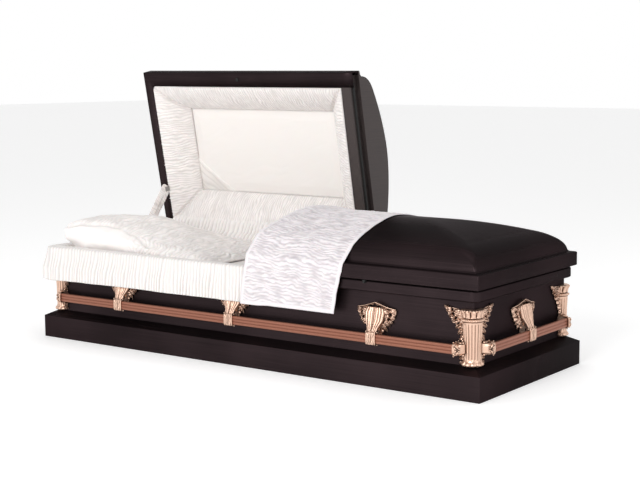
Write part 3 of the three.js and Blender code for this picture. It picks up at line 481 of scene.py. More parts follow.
def lidPath(inset, side, straight=22, turn=10, across=16):
    endX = casket["rimX"] - lidEndRun(inset)
    y = casket["rimY"] - inset
    flat = lidShape["ledge"] + lidShape["cove"]
    rounding = ease((inset - flat * 0.6) / 0.05)
    soft = 0.0025 if inset < flat * 0.6 else mix(0.004, lidShape["cornerRadius"], rounding)
    r = min(soft, y * 0.6)
    edgeX = side * casket["splitX"] + casket["splitGap"] / 2
    points = [(mix(edgeX, endX - r, i / straight), -y) for i in range(straight)]
    angles = [math.pi / 2 * i / turn for i in range(turn)]
    points += [(endX - r + r * math.sin(a), -y + r - r * math.cos(a)) for a in angles]
    points += [(endX, mix(-y + r, y - r, i / across)) for i in range(across + 1)]
    back = points[:straight + turn]
    points += [(x, -yy) for x, yy in reversed(back)]
    return [(side * x, yy) for x, yy in points]


def makeLidShell(name, side, cadNode, body, turned):
    profile = lidProfile()
    paths = [lidPath(inset, side) for inset, z in profile]
    wider = (casket["rimY"] - lidShape["frontFlange"]) / (casket["rimY"] - lidShape["flange"])
    paths[0] = [(x, y * wider if y < 0 else y) for x, y in paths[0]]
    columns, rows = len(paths[0]) - 1, len(profile) - 1

    def place(u, v):
        i, j = round(u * columns), round(v * rows)
        return Vector((*paths[j][i], profile[j][1]))

    bm = shapedGrid(columns, rows, place)
    bmesh.ops.recalc_face_normals(bm, faces=bm.faces)
    top = max(bm.faces, key=lambda f: f.calc_center_median().z)
    if top.normal.z < 0:
        bmesh.ops.reverse_faces(bm, faces=bm.faces)
    if turned:
        bmesh.ops.transform(bm, matrix=swingOpen, verts=bm.verts)
    obj = newObject(name, bm, shellPaint, 40)
    addWall(obj, casket["wall"])
    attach(obj, body)
    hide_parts(cadNode)


makeLidShell("headLidShell", -1, "head_lid_shell", "head_lid", True)
makeLidShell("footLidShell", 1, "foot_lid_shell", "foot_lid", False)
print("lids done")


def bevelledCopy(name, cadNode, body, width, material):
    bm = bmesh.new()  # the CAD node's own shape with its edges broken
    bm.from_mesh(nodes[cadNode].data)
    bmesh.ops.remove_doubles(bm, verts=bm.verts, dist=0.00002)
    bmesh.ops.dissolve_limit(bm, angle_limit=math.radians(1), verts=bm.verts, edges=bm.edges)
    obj = newObject(name, bm, material, 30)
    addBevel(obj, width)
    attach(obj, body)
    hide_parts(cadNode)


bevelledCopy("bodyPanels", "body_shell", "casket_body", 0.0015, shellPaint)
bevelledCopy("headHeader", "head_lid_header", "head_lid", 0.0004, headerPlate)
bevelledCopy("footHeader", "foot_lid_header", "foot_lid", 0.0004, headerPlate)


barShape = {"offset": 0.040, "middle": 0.175, "height": 0.034, "depth": 0.012, "chamfer": 0.001,
            "ridges": 3, "ridgeDepth": 0.0024, "ridgeSteps": 10, "fromCorner": 0.0383}


def barSection():
    b = barShape
    inner, outer = b["offset"] - b["depth"] / 2, b["offset"] + b["depth"] / 2
    low, high = b["middle"] - b["height"] / 2, b["middle"] + b["height"] / 2
    cut = b["chamfer"]
    section = [(inner + cut, low), (inner, low + cut), (inner, high - cut), (inner + cut, high)]
    steps = b["ridges"] * b["ridgeSteps"]
    for i in range(steps + 1):
        t = 1 - i / steps
        wave = abs(math.sin(math.pi * b["ridges"] * t)) ** 0.55
        section.append((outer - b["ridgeDepth"] * (1 - wave), mix(low, high, t)))
    return section


def makeBar(name, cadNode, halfRun, place):
    section = barSection()

    def gridPlace(u, v):
        out, z = section[round(v * len(section)) % len(section)]
        return place(mix(-halfRun, halfRun, u), out, z)

    bm = closeUp(shapedGrid(8, len(section), gridPlace))
    obj = newObject(name, bm, barMetal, 50)
    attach(obj, "casket_body")
    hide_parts(cadNode)


px, py = casket["panelX"], casket["panelY"]
longRun, endRun = px - barShape["fromCorner"], py - barShape["fromCorner"]
makeBar("frontBar", "bar_front", longRun, lambda a, out, z: Vector((a, -py - out, z)))
makeBar("backBar", "bar_back", longRun, lambda a, out, z: Vector((a, py + out, z)))
makeBar("headBar", "bar_head", endRun, lambda a, out, z: Vector((-px - out, a, z)))
makeBar("footBar", "bar_foot", endRun, lambda a, out, z: Vector((px + out, a, z)))
print("bars done")


# the small dark catch on the open lid's front flange and the one under the closed lid's rim

catchShape = {"hookX": -0.505, "hookY": -0.342, "half": 0.007, "drop": 0.0036, "tabX": 0.583,
              "tabHalf": 0.0065, "tabLow": 0.3700, "tabOut": 0.0095, "bevel": 0.0006}


def makeCatch(name, low, high, taper, body, turn=None):
    bm = bmesh.new()
    bmesh.ops.create_cube(bm, size=1)
    for v in bm.verts:
        narrow = taper if v.co.z < 0 else 1
        v.co = Vector((mix(low[0], high[0], v.co.x * narrow + 0.5), mix(low[1], high[1], v.co.y + 0.5),
                       mix(low[2], high[2], v.co.z + 0.5)))
    if turn:
        bmesh.ops.transform(bm, matrix=turn, verts=bm.verts)
    obj = newObject(name, bm, darkHole, 30)
    addBevel(obj, catchShape["bevel"])
    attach(obj, body)


def makeCatches():
    s, c = catchShape, casket
    hookTop = c["lidLow"] + 0.0004
    makeCatch("lidHook", (s["hookX"] - s["half"], s["hookY"] - s["half"], hookTop - s["drop"]),
              (s["hookX"] + s["half"], s["hookY"] + s["half"], hookTop), 0.8, "head_lid", swingOpen)
    makeCatch("rimCatch", (s["tabX"] - s["tabHalf"], -c["mouldingY"] - s["tabOut"], s["tabLow"]),
              (s["tabX"] + s["tabHalf"], -c["mouldingY"] + 0.001, c["lidLow"] - 0.0012), 0.35, "casket_body")


makeCatches()
print("catches done")


# castings: lugs and corners, in local sizes (along the panel, out from it, height)

castShape = {"cell": 0.0016, "plate": 0.0022, "edge": 0.0015, "back": 0.0020, "middle": 0.175,
             "foot": 0.114, "cornerTop": 0.311, "lugPlaces": (-0.628, -0.041, 0.620)}


def insidePolygon(points, x, z):
    inside = False
    for (ax, az), (bx, bz) in zip(points, points[1:] + points[:1]):
        if (az > z) != (bz > z) and x < (bx - ax) * (z - az) / (bz - az) + ax:
            inside = not inside
    return inside


def leafRise(leaf, x, z):
    cx, cz, length, width, tilt, rise = leaf
    c, s = math.cos(math.radians(tilt)), math.sin(math.radians(tilt))
    a = ((x - cx) * c + (z - cz) * s) * 2 / length
    b = (-(x - cx) * s + (z - cz) * c) * 2 / (width * (1 - 0.35 * a))
    inside = 1 - a * a - b * b
    if inside <= 0:
        return 0.0
    veins = 0.5 * math.exp(-(b / 0.15) ** 2) + 0.34 * abs(math.sin(5.0 * (a + abs(b) * 0.8))) ** 3
    return 1.5 * rise * (math.sqrt(inside) + 0.2 - veins * min(1, inside * 3))


def reliefPlate(low, high, outline, leaves, holes, extra=None):
    (x0, z0), (x1, z1) = low, high
    columns, rows = round((x1 - x0) / castShape["cell"]), round((z1 - z0) / castShape["cell"])
    bm = shapedGrid(columns, rows, lambda u, v: Vector((mix(x0, x1, u), 0, mix(z0, z1, v))), 0)
    lost = []
    for v in bm.verts:
        x, z = v.co.x, v.co.z
        risen = max((leafRise(leaf, x, z) for leaf in leaves), default=0)
        holed = any((x - hx) ** 2 / (rx * rx) + (z - hz) ** 2 / (rz * rz) < 1 for hx, hz, rx, rz in holes)
        if holed or (risen <= 0 and not insidePolygon(outline, x, z)):
            lost.append(v)
            continue
        v.co.y = castShape["plate"] + risen + (extra(x, z) if extra else 0)
    bmesh.ops.delete(bm, geom=lost, context="VERTS")
    border = [v for v in bm.verts if v.is_boundary]
    for _ in range(3):
        bmesh.ops.smooth_vert(bm, verts=border, factor=0.5, use_axis_x=True, use_axis_y=False,
                              use_axis_z=True)
    for v in border:
        v.co.y = min(v.co.y, castShape["plate"] + castShape["edge"])
    bmesh.ops.solidify(bm, geom=bm.faces[:], thickness=castShape["back"])
    return bm


def tubeOf(sections, around, power=3.2, ripple=None):
    def place(u, v):
        j = round(v * (len(sections) - 1))
        along, out, z, halfOut, halfUp = sections[j]
        angle = 2 * math.pi * u
        c, s = math.cos(angle), math.sin(angle)
        p = 2 / power
        grow = 1 + (ripple(u, along) if ripple else 0)
        return Vector((along, out + halfOut * grow * math.copysign(abs(c) ** p, c),
                       z + halfUp * grow * math.copysign(abs(s) ** p, s)))

    return closeUp(shapedGrid(around, len(sections) - 1, place))


def joinedParts(parts):
    whole = bmesh.new()
    for bm in parts:
        mesh = bpy.data.meshes.new("part")
        bm.to_mesh(mesh)
        bm.free()
        whole.from_mesh(mesh)
        bpy.data.meshes.remove(mesh)
    return whole


def beadAt(along, out, z, radius):
    bm = bmesh.new()
    bmesh.ops.create_uvsphere(bm, u_segments=12, v_segments=8, radius=radius)
    bmesh.ops.translate(bm, verts=bm.verts, vec=Vector((along, out, z)))
    return bm


def petalAt(along, out, z, size, tilt):
    bm = bmesh.new()
    bmesh.ops.create_uvsphere(bm, u_segments=14, v_segments=8, radius=1.0)
    turn = Matrix.Rotation(math.radians(tilt), 4, "Y") @ Matrix.Diagonal((*size, 1.0))
    bmesh.ops.transform(bm, matrix=Matrix.Translation((along, out, z)) @ turn, verts=bm.verts)
    return bm


def rodBetween(first, second, radius):
    first, second = Vector(first), Vector(second)
    bm = bmesh.new()
    bmesh.ops.create_cone(bm, cap_ends=True, segments=12, radius1=radius, radius2=radius,
                          depth=(second - first).length)
    turn = (second - first).to_track_quat("Z", "Y").to_matrix().to_4x4()
    bmesh.ops.transform(bm, matrix=Matrix.Translation((first + second) / 2) @ turn, verts=bm.verts)
    return bm


lugShape = {"outline": [(0, 0.302), (0.044, 0.286), (0.084, 0.2795), (0.0815, 0.262), (0.073, 0.256),
                        (0.0755, 0.243), (0.066, 0.238), (0.067, 0.229), (0.045, 0.222), (0.026, 0.197),
                        (0.010, 0.150)],
            "peak": 0.302, "slope": 0.36,
            "leaves": [(0.060, 0.272, 0.052, 0.015, 8, 0.0040), (0.063, 0.253, 0.036, 0.014, -14, 0.0046),
                       (0.057, 0.237, 0.034, 0.013, -34, 0.0046), (0.048, 0.226, 0.030, 0.012, -52, 0.0042),
                       (0.074, 0.265, 0.018, 0.026, 0, 0.0040), (0.036, 0.212, 0.034, 0.012, -62, 0.0038)],
            "holes": [(0.061, 0.2625, 0.0038, 0.0048), (0.054, 0.2460, 0.0034, 0.0040)],
            "fan": [(0.2845, 0.004, 0.030, 0.003), (0.2835, 0.013, 0.034, 0.008),
                    (0.266, 0.019, 0.0405, 0.013), (0.238, 0.025, 0.037, 0.020),
                    (0.214, 0.034, 0.0235, 0.016), (0.194, 0.0455, 0.0185, 0.014)],
            "flutes": 7, "fluteDepth": 0.0036,
            "clasp": [(-0.0205, 0.74), (-0.0202, 0.87), (-0.0192, 0.96), (-0.0175, 1.0), (-0.0150, 0.93),
                      (-0.0125, 0.99), (-0.0035, 1.0), (0.0, 0.95), (0.0035, 1.0), (0.0125, 0.99),
                      (0.0150, 0.93), (0.0175, 1.0), (0.0192, 0.96), (0.0202, 0.87), (0.0205, 0.74)],
            "claspMiddle": 0.1765, "claspHalf": (0.0118, 0.0245)}


def makeLugMesh():
    s = lugShape
    outline = s["outline"] + [(-x, z) for x, z in reversed(s["outline"][1:])]
    leaves = s["leaves"] + [(-x, z, l, w, 180 - t, r) for x, z, l, w, t, r in s["leaves"]]
    holes = s["holes"] + [(-x, z, rx, rz) for x, z, rx, rz in s["holes"]]

    def arch(x, z):
        roof = s["peak"] - abs(x) * s["slope"]
        ridge = math.exp(-((z - roof + 0.0030) / 0.0024) ** 2) if abs(x) < 0.05 else 0
        bowed = 0.011 * (1 - ease((abs(x) - 0.026) / 0.052)) * ease((z - 0.205) / 0.03)
        bands = 0.0012 * math.sin((z - 0.0012 * abs(x)) * 1500)
        bands *= ease((abs(x) - 0.046) / 0.006) * ease((z - 0.268) / 0.004)
        return 0.0045 * ridge + bands + bowed

    plate = reliefPlate((-0.087, 0.140), (0.087, 0.306), outline, leaves, holes, arch)
    void = [v for v in plate.verts
            if 0.280 < v.co.z < 0.2958 - abs(v.co.x) * s["slope"] and abs(v.co.x) < 0.034]
    bmesh.ops.delete(plate, geom=void, context="VERTS")

    def fan(u, v):
        t = (u - 0.5) * 2.5
        level = v * (len(s["fan"]) - 1)
        k = min(int(level), len(s["fan"]) - 2)
        f = ease(level - k) * 0.4 + (level - k) * 0.6
        z, out, half, depth = (mix(a, b, f) for a, b in zip(s["fan"][k], s["fan"][k + 1]))
        inner = max(-1.0, min(1.0, t))
        back = ease((abs(t) - 1) / 0.25) if abs(t) > 1 else 0
        flute = abs(math.sin(math.pi * s["flutes"] * (inner + 1) / 2)) ** 0.6
        shallower = ease(v * 6) * (1 - 0.6 * ease((v - 0.75) * 4))
        crown = 0.003 * (1 - inner ** 2) + s["fluteDepth"] * flute * shallower
        split = 0.0050 * math.exp(-(inner / 0.06) ** 2)
        fringe = (0.0034 * math.cos(inner * 11) - 0.006 * inner ** 2) * (1 - ease(v * 4))
        return Vector((half * (inner + 0.02 * math.copysign(back, t)),
                       out + crown - split - depth * back, z + fringe))

    face = shapedGrid(84, 60, fan, 0)
    bmesh.ops.recalc_face_normals(face, faces=face.faces)
    bmesh.ops.solidify(face, geom=face.faces[:], thickness=0.0016)
    halfOut, halfUp = s["claspHalf"]
    sections = [(x, barShape["offset"], s["claspMiddle"], halfOut * w, halfUp * w) for x, w in s["clasp"]]
    clasp = tubeOf(sections, 64, 4.5)
    trim = [beadAt(side * 0.018, 0.0475, 0.2005, 0.0030) for side in (-1, 0, 1)]
    trim += [petalAt(0, 0.0520, 0.1760, (0.0030, 0.0026, 0.0170), 0)]
    for side in (-1, 1):
        trim += [beadAt(side * 0.0228, 0.040, z, 0.0030) for z in (0.1535, 0.1985)]
        trim += [beadAt(side * 0.030, 0.012, 0.2015, 0.0056),
                 rodBetween((0, 0.016, 0.3015), (side * 0.046, 0.012, 0.2865), 0.0021),
                 rodBetween((side * 0.045, 0.012, 0.2868), (side * 0.082, 0.006, 0.2790), 0.0020),
                 petalAt(side * 0.0100, 0.0515, 0.1880, (0.0040, 0.0026, 0.0115), side * 24),
                 petalAt(side * 0.0095, 0.0515, 0.1640, (0.0036, 0.0024, 0.0100), -side * 24)]
    return joinedParts([plate, face, clasp, *trim])


cornerShape = {"radius": 0.035, "centre": 0.015, "from": -67, "to": 157, "flutes": 17, "fluteDepth": 0.0036,
               "column": [(0.0, 1.04), (0.012, 1.13), (0.035, 1.17), (0.06, 1.10), (0.085, 0.960),
                          (0.11, 0.91), (0.45, 0.93), (0.765, 0.99), (0.785, 1.10), (0.81, 1.14),
                          (0.835, 1.08), (0.87, 1.03), (0.91, 1.07), (0.95, 1.17), (0.975, 1.19),
                          (0.992, 1.13), (1.0, 1.02)],
               "wing": [(-0.002, 0.305), (0.048, 0.309), (0.119, 0.3195), (0.113, 0.304), (0.101, 0.298),
                        (0.1035, 0.286), (0.088, 0.280), (0.089, 0.266), (0.074, 0.258), (0.062, 0.240),
                        (0.048, 0.220), (0.045, 0.198), (0.048, 0.152), (0.040, 0.146), (0.052, 0.138),
                        (0.050, 0.118), (-0.002, 0.116)],
               "leaves": [(0.101, 0.311, 0.044, 0.013, 22, 0.0044), (0.092, 0.298, 0.036, 0.014, 4, 0.0050),
                          (0.082, 0.283, 0.034, 0.014, -8, 0.0052), (0.070, 0.267, 0.034, 0.014, -20, 0.0054),
                          (0.060, 0.249, 0.032, 0.013, -36, 0.0050), (0.052, 0.230, 0.028, 0.012, -52, 0.0046),
                          (0.062, 0.298, 0.050, 0.018, 10, 0.0050), (0.047, 0.210, 0.024, 0.011, -66, 0.0042),
                          (0.046, 0.141, 0.022, 0.013, 30, 0.0046), (0.044, 0.125, 0.026, 0.013, -8, 0.0050)],
               "holes": [(0.083, 0.3055, 0.0034, 0.0026), (0.079, 0.2915, 0.0040, 0.0034),
                         (0.069, 0.2765, 0.0036, 0.0036), (0.060, 0.2600, 0.0032, 0.0036),
                         (0.0465, 0.1330, 0.0030, 0.0026)],
               "socket": [(0.022, 0.0065, 0.175, 0.0058, 0.0150), (0.027, 0.0100, 0.175, 0.0095, 0.0172),
                          (0.031, 0.0165, 0.175, 0.0160, 0.0186), (0.036, 0.0225, 0.175, 0.0220, 0.0190),
                          (0.043, 0.0250, 0.175, 0.0240, 0.0192), (0.049, 0.0258, 0.175, 0.0250, 0.0206),
                          (0.0535, 0.0262, 0.175, 0.0258, 0.0236), (0.0565, 0.0262, 0.175, 0.0257, 0.0238),
                          (0.0580, 0.0262, 0.175, 0.0250, 0.0228), (0.0580, 0.0400, 0.175, 0.0080, 0.0190),
                          (0.0570, 0.0400, 0.175, 0.0066, 0.0176), (0.0384, 0.0400, 0.175, 0.0066, 0.0176),
                          (0.0384, 0.0400, 0.175, 0.0010, 0.0020)]}


def readStations(stations, t):
    for (a, va), (b, vb) in zip(stations, stations[1:]):
        if t <= b:
            return mix(va, vb, ease((t - a) / max(b - a, 1e-9)))
    return stations[-1][1]


def columnForm():
    s, c = cornerShape, castShape
    height = c["cornerTop"] - c["foot"]

    def place(u, v):
        rise = min(max((v - 0.04) / 0.92, 0), 1)
        angle = math.radians(mix(s["from"], s["to"], u))
        around = math.degrees(angle) / 360
        radius = s["radius"] * readStations(s["column"], rise)
        span = ease((rise - 0.10) / 0.03) * (1 - ease((rise - 0.73) / 0.03))
        radius -= s["fluteDepth"] * span * (1 - abs(math.sin(math.pi * s["flutes"] * around)) ** 0.7)
        radius += 0.0018 * math.sin(2 * math.pi * 30 * around) * math.exp(-((rise - 0.812) / 0.013) ** 2)
        radius += 0.0018 * math.sin(2 * math.pi * 24 * around) * math.exp(-((rise - 0.972) / 0.012) ** 2)
        radius -= 0.0045 * math.exp(-((rise - 0.785) / 0.008) ** 2)
        radius -= 0.0050 * math.exp(-((rise - 0.845) / 0.009) ** 2)
        lobe = abs(math.sin(math.pi * 10 * around)) ** 0.6
        radius -= 0.0085 * (1 - lobe) * ease((rise - 0.85) / 0.03) * (1 - ease((rise - 0.955) / 0.02))
        radius -= 0.0050 * (1 - lobe) * ease(rise / 0.01) * (1 - ease((rise - 0.065) / 0.02))
        if v < 0.04:
            radius *= v / 0.04
        if v > 0.96:
            radius *= (1 - v) / 0.04
        return Vector((radius * math.cos(angle) - s["centre"], radius * math.sin(angle) - s["centre"],
                       c["foot"] + 0.0005 + height * rise))

    return shapedGrid(150, 110, place)


def wingForm():
    s = cornerShape

    def vine(x, z):
        return 0.0006 * math.sin(x * 620 + z * 240) * ease((0.07 - x) / 0.02)

    plate = reliefPlate((-0.002, 0.114), (0.121, 0.323), s["wing"], s["leaves"], s["holes"], vine)

    def scroll(u, along):
        leafy = math.sin(2 * math.pi * 6 * u + along * 330) * math.cos(2 * math.pi * 2 * u - along * 520)
        return 0.085 * leafy * ease((0.0545 - along) / 0.004)

    socket = tubeOf(s["socket"], 96, 3.6, scroll)
    level = castShape["middle"]
    trim = [petalAt(0.0555, 0.0500, level, (0.0022, 0.0034, 0.0200), 0)]
    for side in (-1, 1):  # beads and leaf relief on the socket
        trim += [beadAt(0.0560, out, level + side * 0.0240, 0.0026) for out in (0.008, 0.026, 0.044)]
        trim += [beadAt(0.030, 0.022, level + side * 0.0215, 0.0040),
                 beadAt(0.040, 0.008, level + side * 0.0260, 0.0048),
                 petalAt(0.0395, 0.0480, level + side * 0.0120, (0.0034, 0.0040, 0.0090), side * 38),
                 petalAt(0.0470, 0.0495, level + side * 0.0060, (0.0032, 0.0038, 0.0080), side * 52),
                 petalAt(0.0500, 0.0495, level + side * 0.0155, (0.0030, 0.0036, 0.0062), -side * 40),
                 petalAt(0.0340, 0.0440, level + side * 0.0035, (0.0060, 0.0036, 0.0026), side * 16),
                 petalAt(0.0425, 0.0230, level + side * 0.0205, (0.0100, 0.0060, 0.0036), 0)]
    return joinedParts([plate, socket, *trim])


def makeCornerMesh():
    front = wingForm()
    end = front.copy()
    # x runs out from the end panel and y out from the front panel, so the body is where both are negative
    toFront = Matrix(((-1, 0, 0, 0), (0, 1, 0, 0), (0, 0, 1, 0), (0, 0, 0, 1)))
    toEnd = Matrix(((0, 1, 0, 0), (-1, 0, 0, 0), (0, 0, 1, 0), (0, 0, 0, 1)))
    bmesh.ops.transform(front, matrix=toFront, verts=front.verts)
    bmesh.ops.transform(end, matrix=toEnd, verts=end.verts)
    return joinedParts([columnForm(), front, end])


def placeCasting(name, form, place, cadNode):
    bm = form.copy()
    for v in bm.verts:
        v.co = place(v.co)
    bmesh.ops.recalc_face_normals(bm, faces=bm.faces)
    obj = newObject(name, bm, castMetal, 50)
    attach(obj, "casket_body")
    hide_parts(cadNode)


def placeCastings():
    lug, corner = makeLugMesh(), makeCornerMesh()
    for side, sy in (("front", -1), ("back", 1)):
        for i, x0 in enumerate(castShape["lugPlaces"]):
            placeCasting(f"lug{side.title()}{i + 1}", lug,
                         lambda p, x0=x0, sy=sy: Vector((x0 + p.x, sy * (py + p.y), p.z)),
                         f"lug_{side}_{i + 1}")
    for end, sx in (("head", -1), ("foot", 1)):
        placeCasting(f"lug{end.title()}", lug, lambda p, sx=sx: Vector((sx * (px + p.y), p.x, p.z)),
                     f"lug_{end}")
        for side, sy in (("front", -1), ("back", 1)):
            placeCasting(f"corner{end.title()}{side.title()}", corner,
                         lambda p, sx=sx, sy=sy: Vector((sx * (px + p.x), sy * (py + p.y), p.z)),
                         f"corner_casting_{end}_{side}")
    lug.free()
    corner.free()


placeCastings()
print("castings done")


# cloth: how it gathers

def gather(run, across, period, seed, wander=1.5):
    drift = wander * fbm(run / (period * 5), across / (period * 6), seed)
    level = 0.7 + 0.4 * wander * fbm(run / (period * 1.6), across / (period * 3.5), seed + 9.3)
    return abs(math.sin(math.pi * (run / period + drift))) ** 0.75 * max(level, 0.15)


def drape(run, across, period, seed):
    drift = 0.7 * fbm(run / (period * 4), across / (period * 16), seed)
    level = 0.75 + 0.8 * fbm(run / (period * 2.2), across / (period * 10), seed + 4.1)
    return math.sin(2 * math.pi * (run / period + drift)) * max(level, 0.1)


def faceTowards(bm, direction):
    bmesh.ops.recalc_face_normals(bm, faces=bm.faces)
    if sum(f.calc_area() * f.normal.dot(direction) for f in bm.faces) < 0:
        bmesh.ops.reverse_faces(bm, faces=bm.faces)
    return bm


def clothArea(bm):
    return sum(f.calc_area() for f in bm.faces)


def alongPath(points, share):
    lengths = [0.0]
    for a, b in zip(points, points[1:]):
        lengths.append(lengths[-1] + math.dist(a, b))
    want = share * lengths[-1]
    for i in range(1, len(points)):
        if want <= lengths[i] or i == len(points) - 1:
            t = (want - lengths[i - 1]) / max(lengths[i] - lengths[i - 1], 1e-9)
            return tuple(mix(a, b, t) for a, b in zip(points[i - 1], points[i]))


# lining of the open lid, drawn with the lid closed and then swung open

lidLining = {"outerX": (-1.012, 0.0415), "outerY": (-0.310, 0.327), "innerX": (-0.900, -0.092),
             "innerY": (-0.186, 0.196), "edgeZ": 0.3840, "panelZ": 0.5020, "puff": 0.019, "period": 0.0125,
             "fold": 0.0046, "backing": 0.007, "tuck": 0.030, "cell": 0.0021, "faceRows": 30,
             "backRows": 4}


def borderFrame(first, second):
    s = lidLining
    outerA = Vector((s["outerX"][first[0]], s["outerY"][first[1]], s["edgeZ"]))
    outerB = Vector((s["outerX"][second[0]], s["outerY"][second[1]], s["edgeZ"]))
    innerA = Vector((s["innerX"][first[0]], s["innerY"][first[1]], s["panelZ"]))
    innerB = Vector((s["innerX"][second[0]], s["innerY"][second[1]], s["panelZ"]))
    along = (outerB - outerA).normalized()
    slope = (innerA + innerB - outerA - outerB) / 2
    inward = along.cross(slope - along * slope.dot(along)).normalized()
    if inward.z > 0:
        inward.negate()
    return outerA, outerB, innerA, innerB, along, inward


def makeLidBorder(name, cadNode, first, second, before, after, seed):
    s = lidLining
    outerA, outerB, innerA, innerB, along, inward = borderFrame(first, second)
    mitreA = (inward + borderFrame(*before)[5]).normalized()
    mitreB = (inward + borderFrame(*after)[5]).normalized()
    columns, face, back = round((outerB - outerA).length / s["cell"]), s["faceRows"], s["backRows"]
    rows = face + back

    def place(u, v):
        j = round(v * rows)
        w = j / face if j <= face else 1 - (j - face) / back
        point = outerA.lerp(outerB, u).lerp(innerA.lerp(innerB, u), w)
        if j > face:
            return point - inward * s["backing"] * math.sin(math.pi * w), 0.0
        width = mix((outerB - outerA).length, (innerB - innerA).length, w)
        free = ease(min(u, 1 - u) * width / s["tuck"])
        way = (mitreA if u < 0.5 else mitreB).lerp(inward, free).normalized()
        run = (point - outerA).dot(along)
        swell = math.sin(math.pi * min(w, 1)) ** 0.6 * (1 - 0.2 * w) * mix(0.62, 1, free)
        folds = gather(run, w * 0.16, s["period"], seed, 1.0)
        depth = s["fold"] * mix(0.25, 1, free) * math.sin(math.pi * mix(0.10, 0.97, w)) ** 0.5
        lumps = 0.0014 * free * fbm(run * 14, w * 2, seed + 3)
        # crest: painted shade in the valleys of the gathers, and dark where the border tucks in at its edges
        tucked = ease((1 - w) / 0.07) * ease(w / 0.05)
        return point + way * (s["puff"] * swell + depth * folds + lumps * swell), mix(0.15, folds, tucked)

    bm = closeUp(clothGrid(columns, rows, place))
    bmesh.ops.transform(bm, matrix=swingOpen, verts=bm.verts)
    obj = newObject(name, bm, liningCloth)
    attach(obj, "head_lid")
    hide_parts(cadNode)


frontSide, backSide = ((0, 0), (1, 0)), ((0, 1), (1, 1))
headSide, splitSide = ((0, 0), (0, 1)), ((1, 0), (1, 1))
makeLidBorder("lidBorderFront", "lid_border_front", *frontSide, headSide, splitSide, 1.7)
makeLidBorder("lidBorderBack", "lid_border_back", *backSide, headSide, splitSide, 5.1)
makeLidBorder("lidBorderHead", "lid_border_head", *headSide, frontSide, backSide, 8.9)
makeLidBorder("lidBorderSplit", "lid_border_split", *splitSide, frontSide, backSide, 12.3)

lidPanel = {"sag": 0.005, "foldFrom": (0.0, 0.60), "foldTo": (0.25, 1.0), "foldStep": 0.0048,
            "pleat": 0.0026, "pleatWidth": 0.024, "tuckedIn": 0.008, "columns": 300, "rows": 150,
            "wall": 0.0012}


def makeLidPanel():
    s, p = lidLining, lidPanel
    (x0, x1), (y0, y1) = s["innerX"], s["innerY"]
    a = Vector((mix(x0, x1, p["foldFrom"][0]), mix(y0, y1, p["foldFrom"][1])))
    b = Vector((mix(x0, x1, p["foldTo"][0]), mix(y0, y1, p["foldTo"][1])))
    across = Vector((-(b - a).y, (b - a).x)).normalized()

    def place(u, v):
        x = mix(x0 - p["tuckedIn"], x1 + p["tuckedIn"], u)
        y = mix(y0 - p["tuckedIn"], y1 + p["tuckedIn"], v)
        edge = min(x - x0, x1 - x, y - y0, y1 - y)
        rim = ease(edge / 0.05)
        out = p["sag"] * rim + 0.0016 * rim * fbm(x * 5, y * 7, 2.2)
        out += 0.0007 * rim * gather(x * 0.3 + y, x, 0.05, 4.4)
        beyond = (Vector((x, y)) - a).dot(across)
        if beyond > 0:
            corner = ease(beyond / 0.006)
            out += p["foldStep"] * corner * math.exp(-beyond / 0.05)
            pleats = gather(beyond, x * 0.6, p["pleatWidth"], 6.6)
            out += p["pleat"] * corner * pleats
            # painted shade in the valleys of the pleats
            crest = mix(1, 0.15 + 0.8 * pleats, corner)
        else:
            out += 0.0012 * math.exp(beyond / 0.012)
            # painted highlight along the near side of the fold
            crest = 0.85 + 0.25 * math.exp(beyond / 0.008)
        # painted shade where the panel tucks in at its edges, times a random tone
        crest *= mix(0.35, 1, ease(edge / 0.010)) * (1 + 0.25 * fbm(x * 5, y * 7, 2.2))
        return Vector((x, y, s["panelZ"] - 0.0005 - out)), crest

    bm = faceTowards(clothGrid(p["columns"], p["rows"], place), Vector((0, 0, -1)))
    area = clothArea(bm)
    bmesh.ops.transform(bm, matrix=swingOpen, verts=bm.verts)
    obj = newObject("lidPanelCloth", bm, plainCloth)
    addWall(obj, p["wall"], even=False)
    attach(obj, "head_lid")
    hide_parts("lid_lining_panel")


makeLidPanel()
print("lid lining done")

hingeApron = {"fromX": -1.006, "toX": 0.041,
              "section": [(0.3115, 0.3300), (0.3125, 0.3600), (0.3170, 0.3800), (0.3270, 0.3905),
                          (0.3400, 0.3990), (0.3490, 0.4160), (0.3560, 0.4350), (0.3700, 0.4560)],
              "fold": 0.0052, "period": 0.021, "cell": 0.0024, "rows": 34, "wall": 0.0010}


def makeHingeApron():
    s = hingeApron
    length = s["toX"] - s["fromX"]

    def place(u, v):
        y, z = alongPath(s["section"], v)
        x = mix(s["fromX"], s["toX"], u)
        free = math.sin(math.pi * mix(0.12, 0.97, v))
        deep = s["fold"] * free * drape(x, v * 0.13, s["period"], 3.3)
        small = 0.0012 * free * gather(x, v * 0.13, 0.008, 7.7)
        # crest: painted highlight on the folds that stand out, painted shade between them
        return Vector((x, y - deep - small, z + 0.3 * deep)), 0.5 + 90 * deep + 60 * small

    bm = faceTowards(clothGrid(round(length / s["cell"]), s["rows"], place), Vector((0, -1, 0.4)))
    area = clothArea(bm)
    obj = newObject("hingeApron", bm, liningCloth)
    addWall(obj, s["wall"], even=False)
    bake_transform(obj)


# lining of the body

bodyLining = {"inner": 0.3190, "outer": 0.3345, "top": 0.3783, "foot": 0.002, "fromX": -0.9980,
              "toX": 1.0165, "endHalf": 0.3186, "endFoot": 0.2456, "head": (0.9822, 0.9978),
              "footEnd": (1.0007, 1.0163), "fold": 0.0024, "period": 0.014, "cell": 0.0034}


def liningSection(inner, outer, foot, top):
    levels = [foot, foot + 0.11, 0.24, 0.32, 0.338, 0.344]
    section = [(inner, z) for z in levels if z >= foot]
    section += [(inner, mix(0.346, top - 0.006, i / 8)) for i in range(9)]
    section += [(inner + 0.0015, top - 0.002), (inner + 0.005, top), (outer - 0.002, top)]
    return section + [(outer, top - 0.002), (outer, 0.30), (outer, foot)]


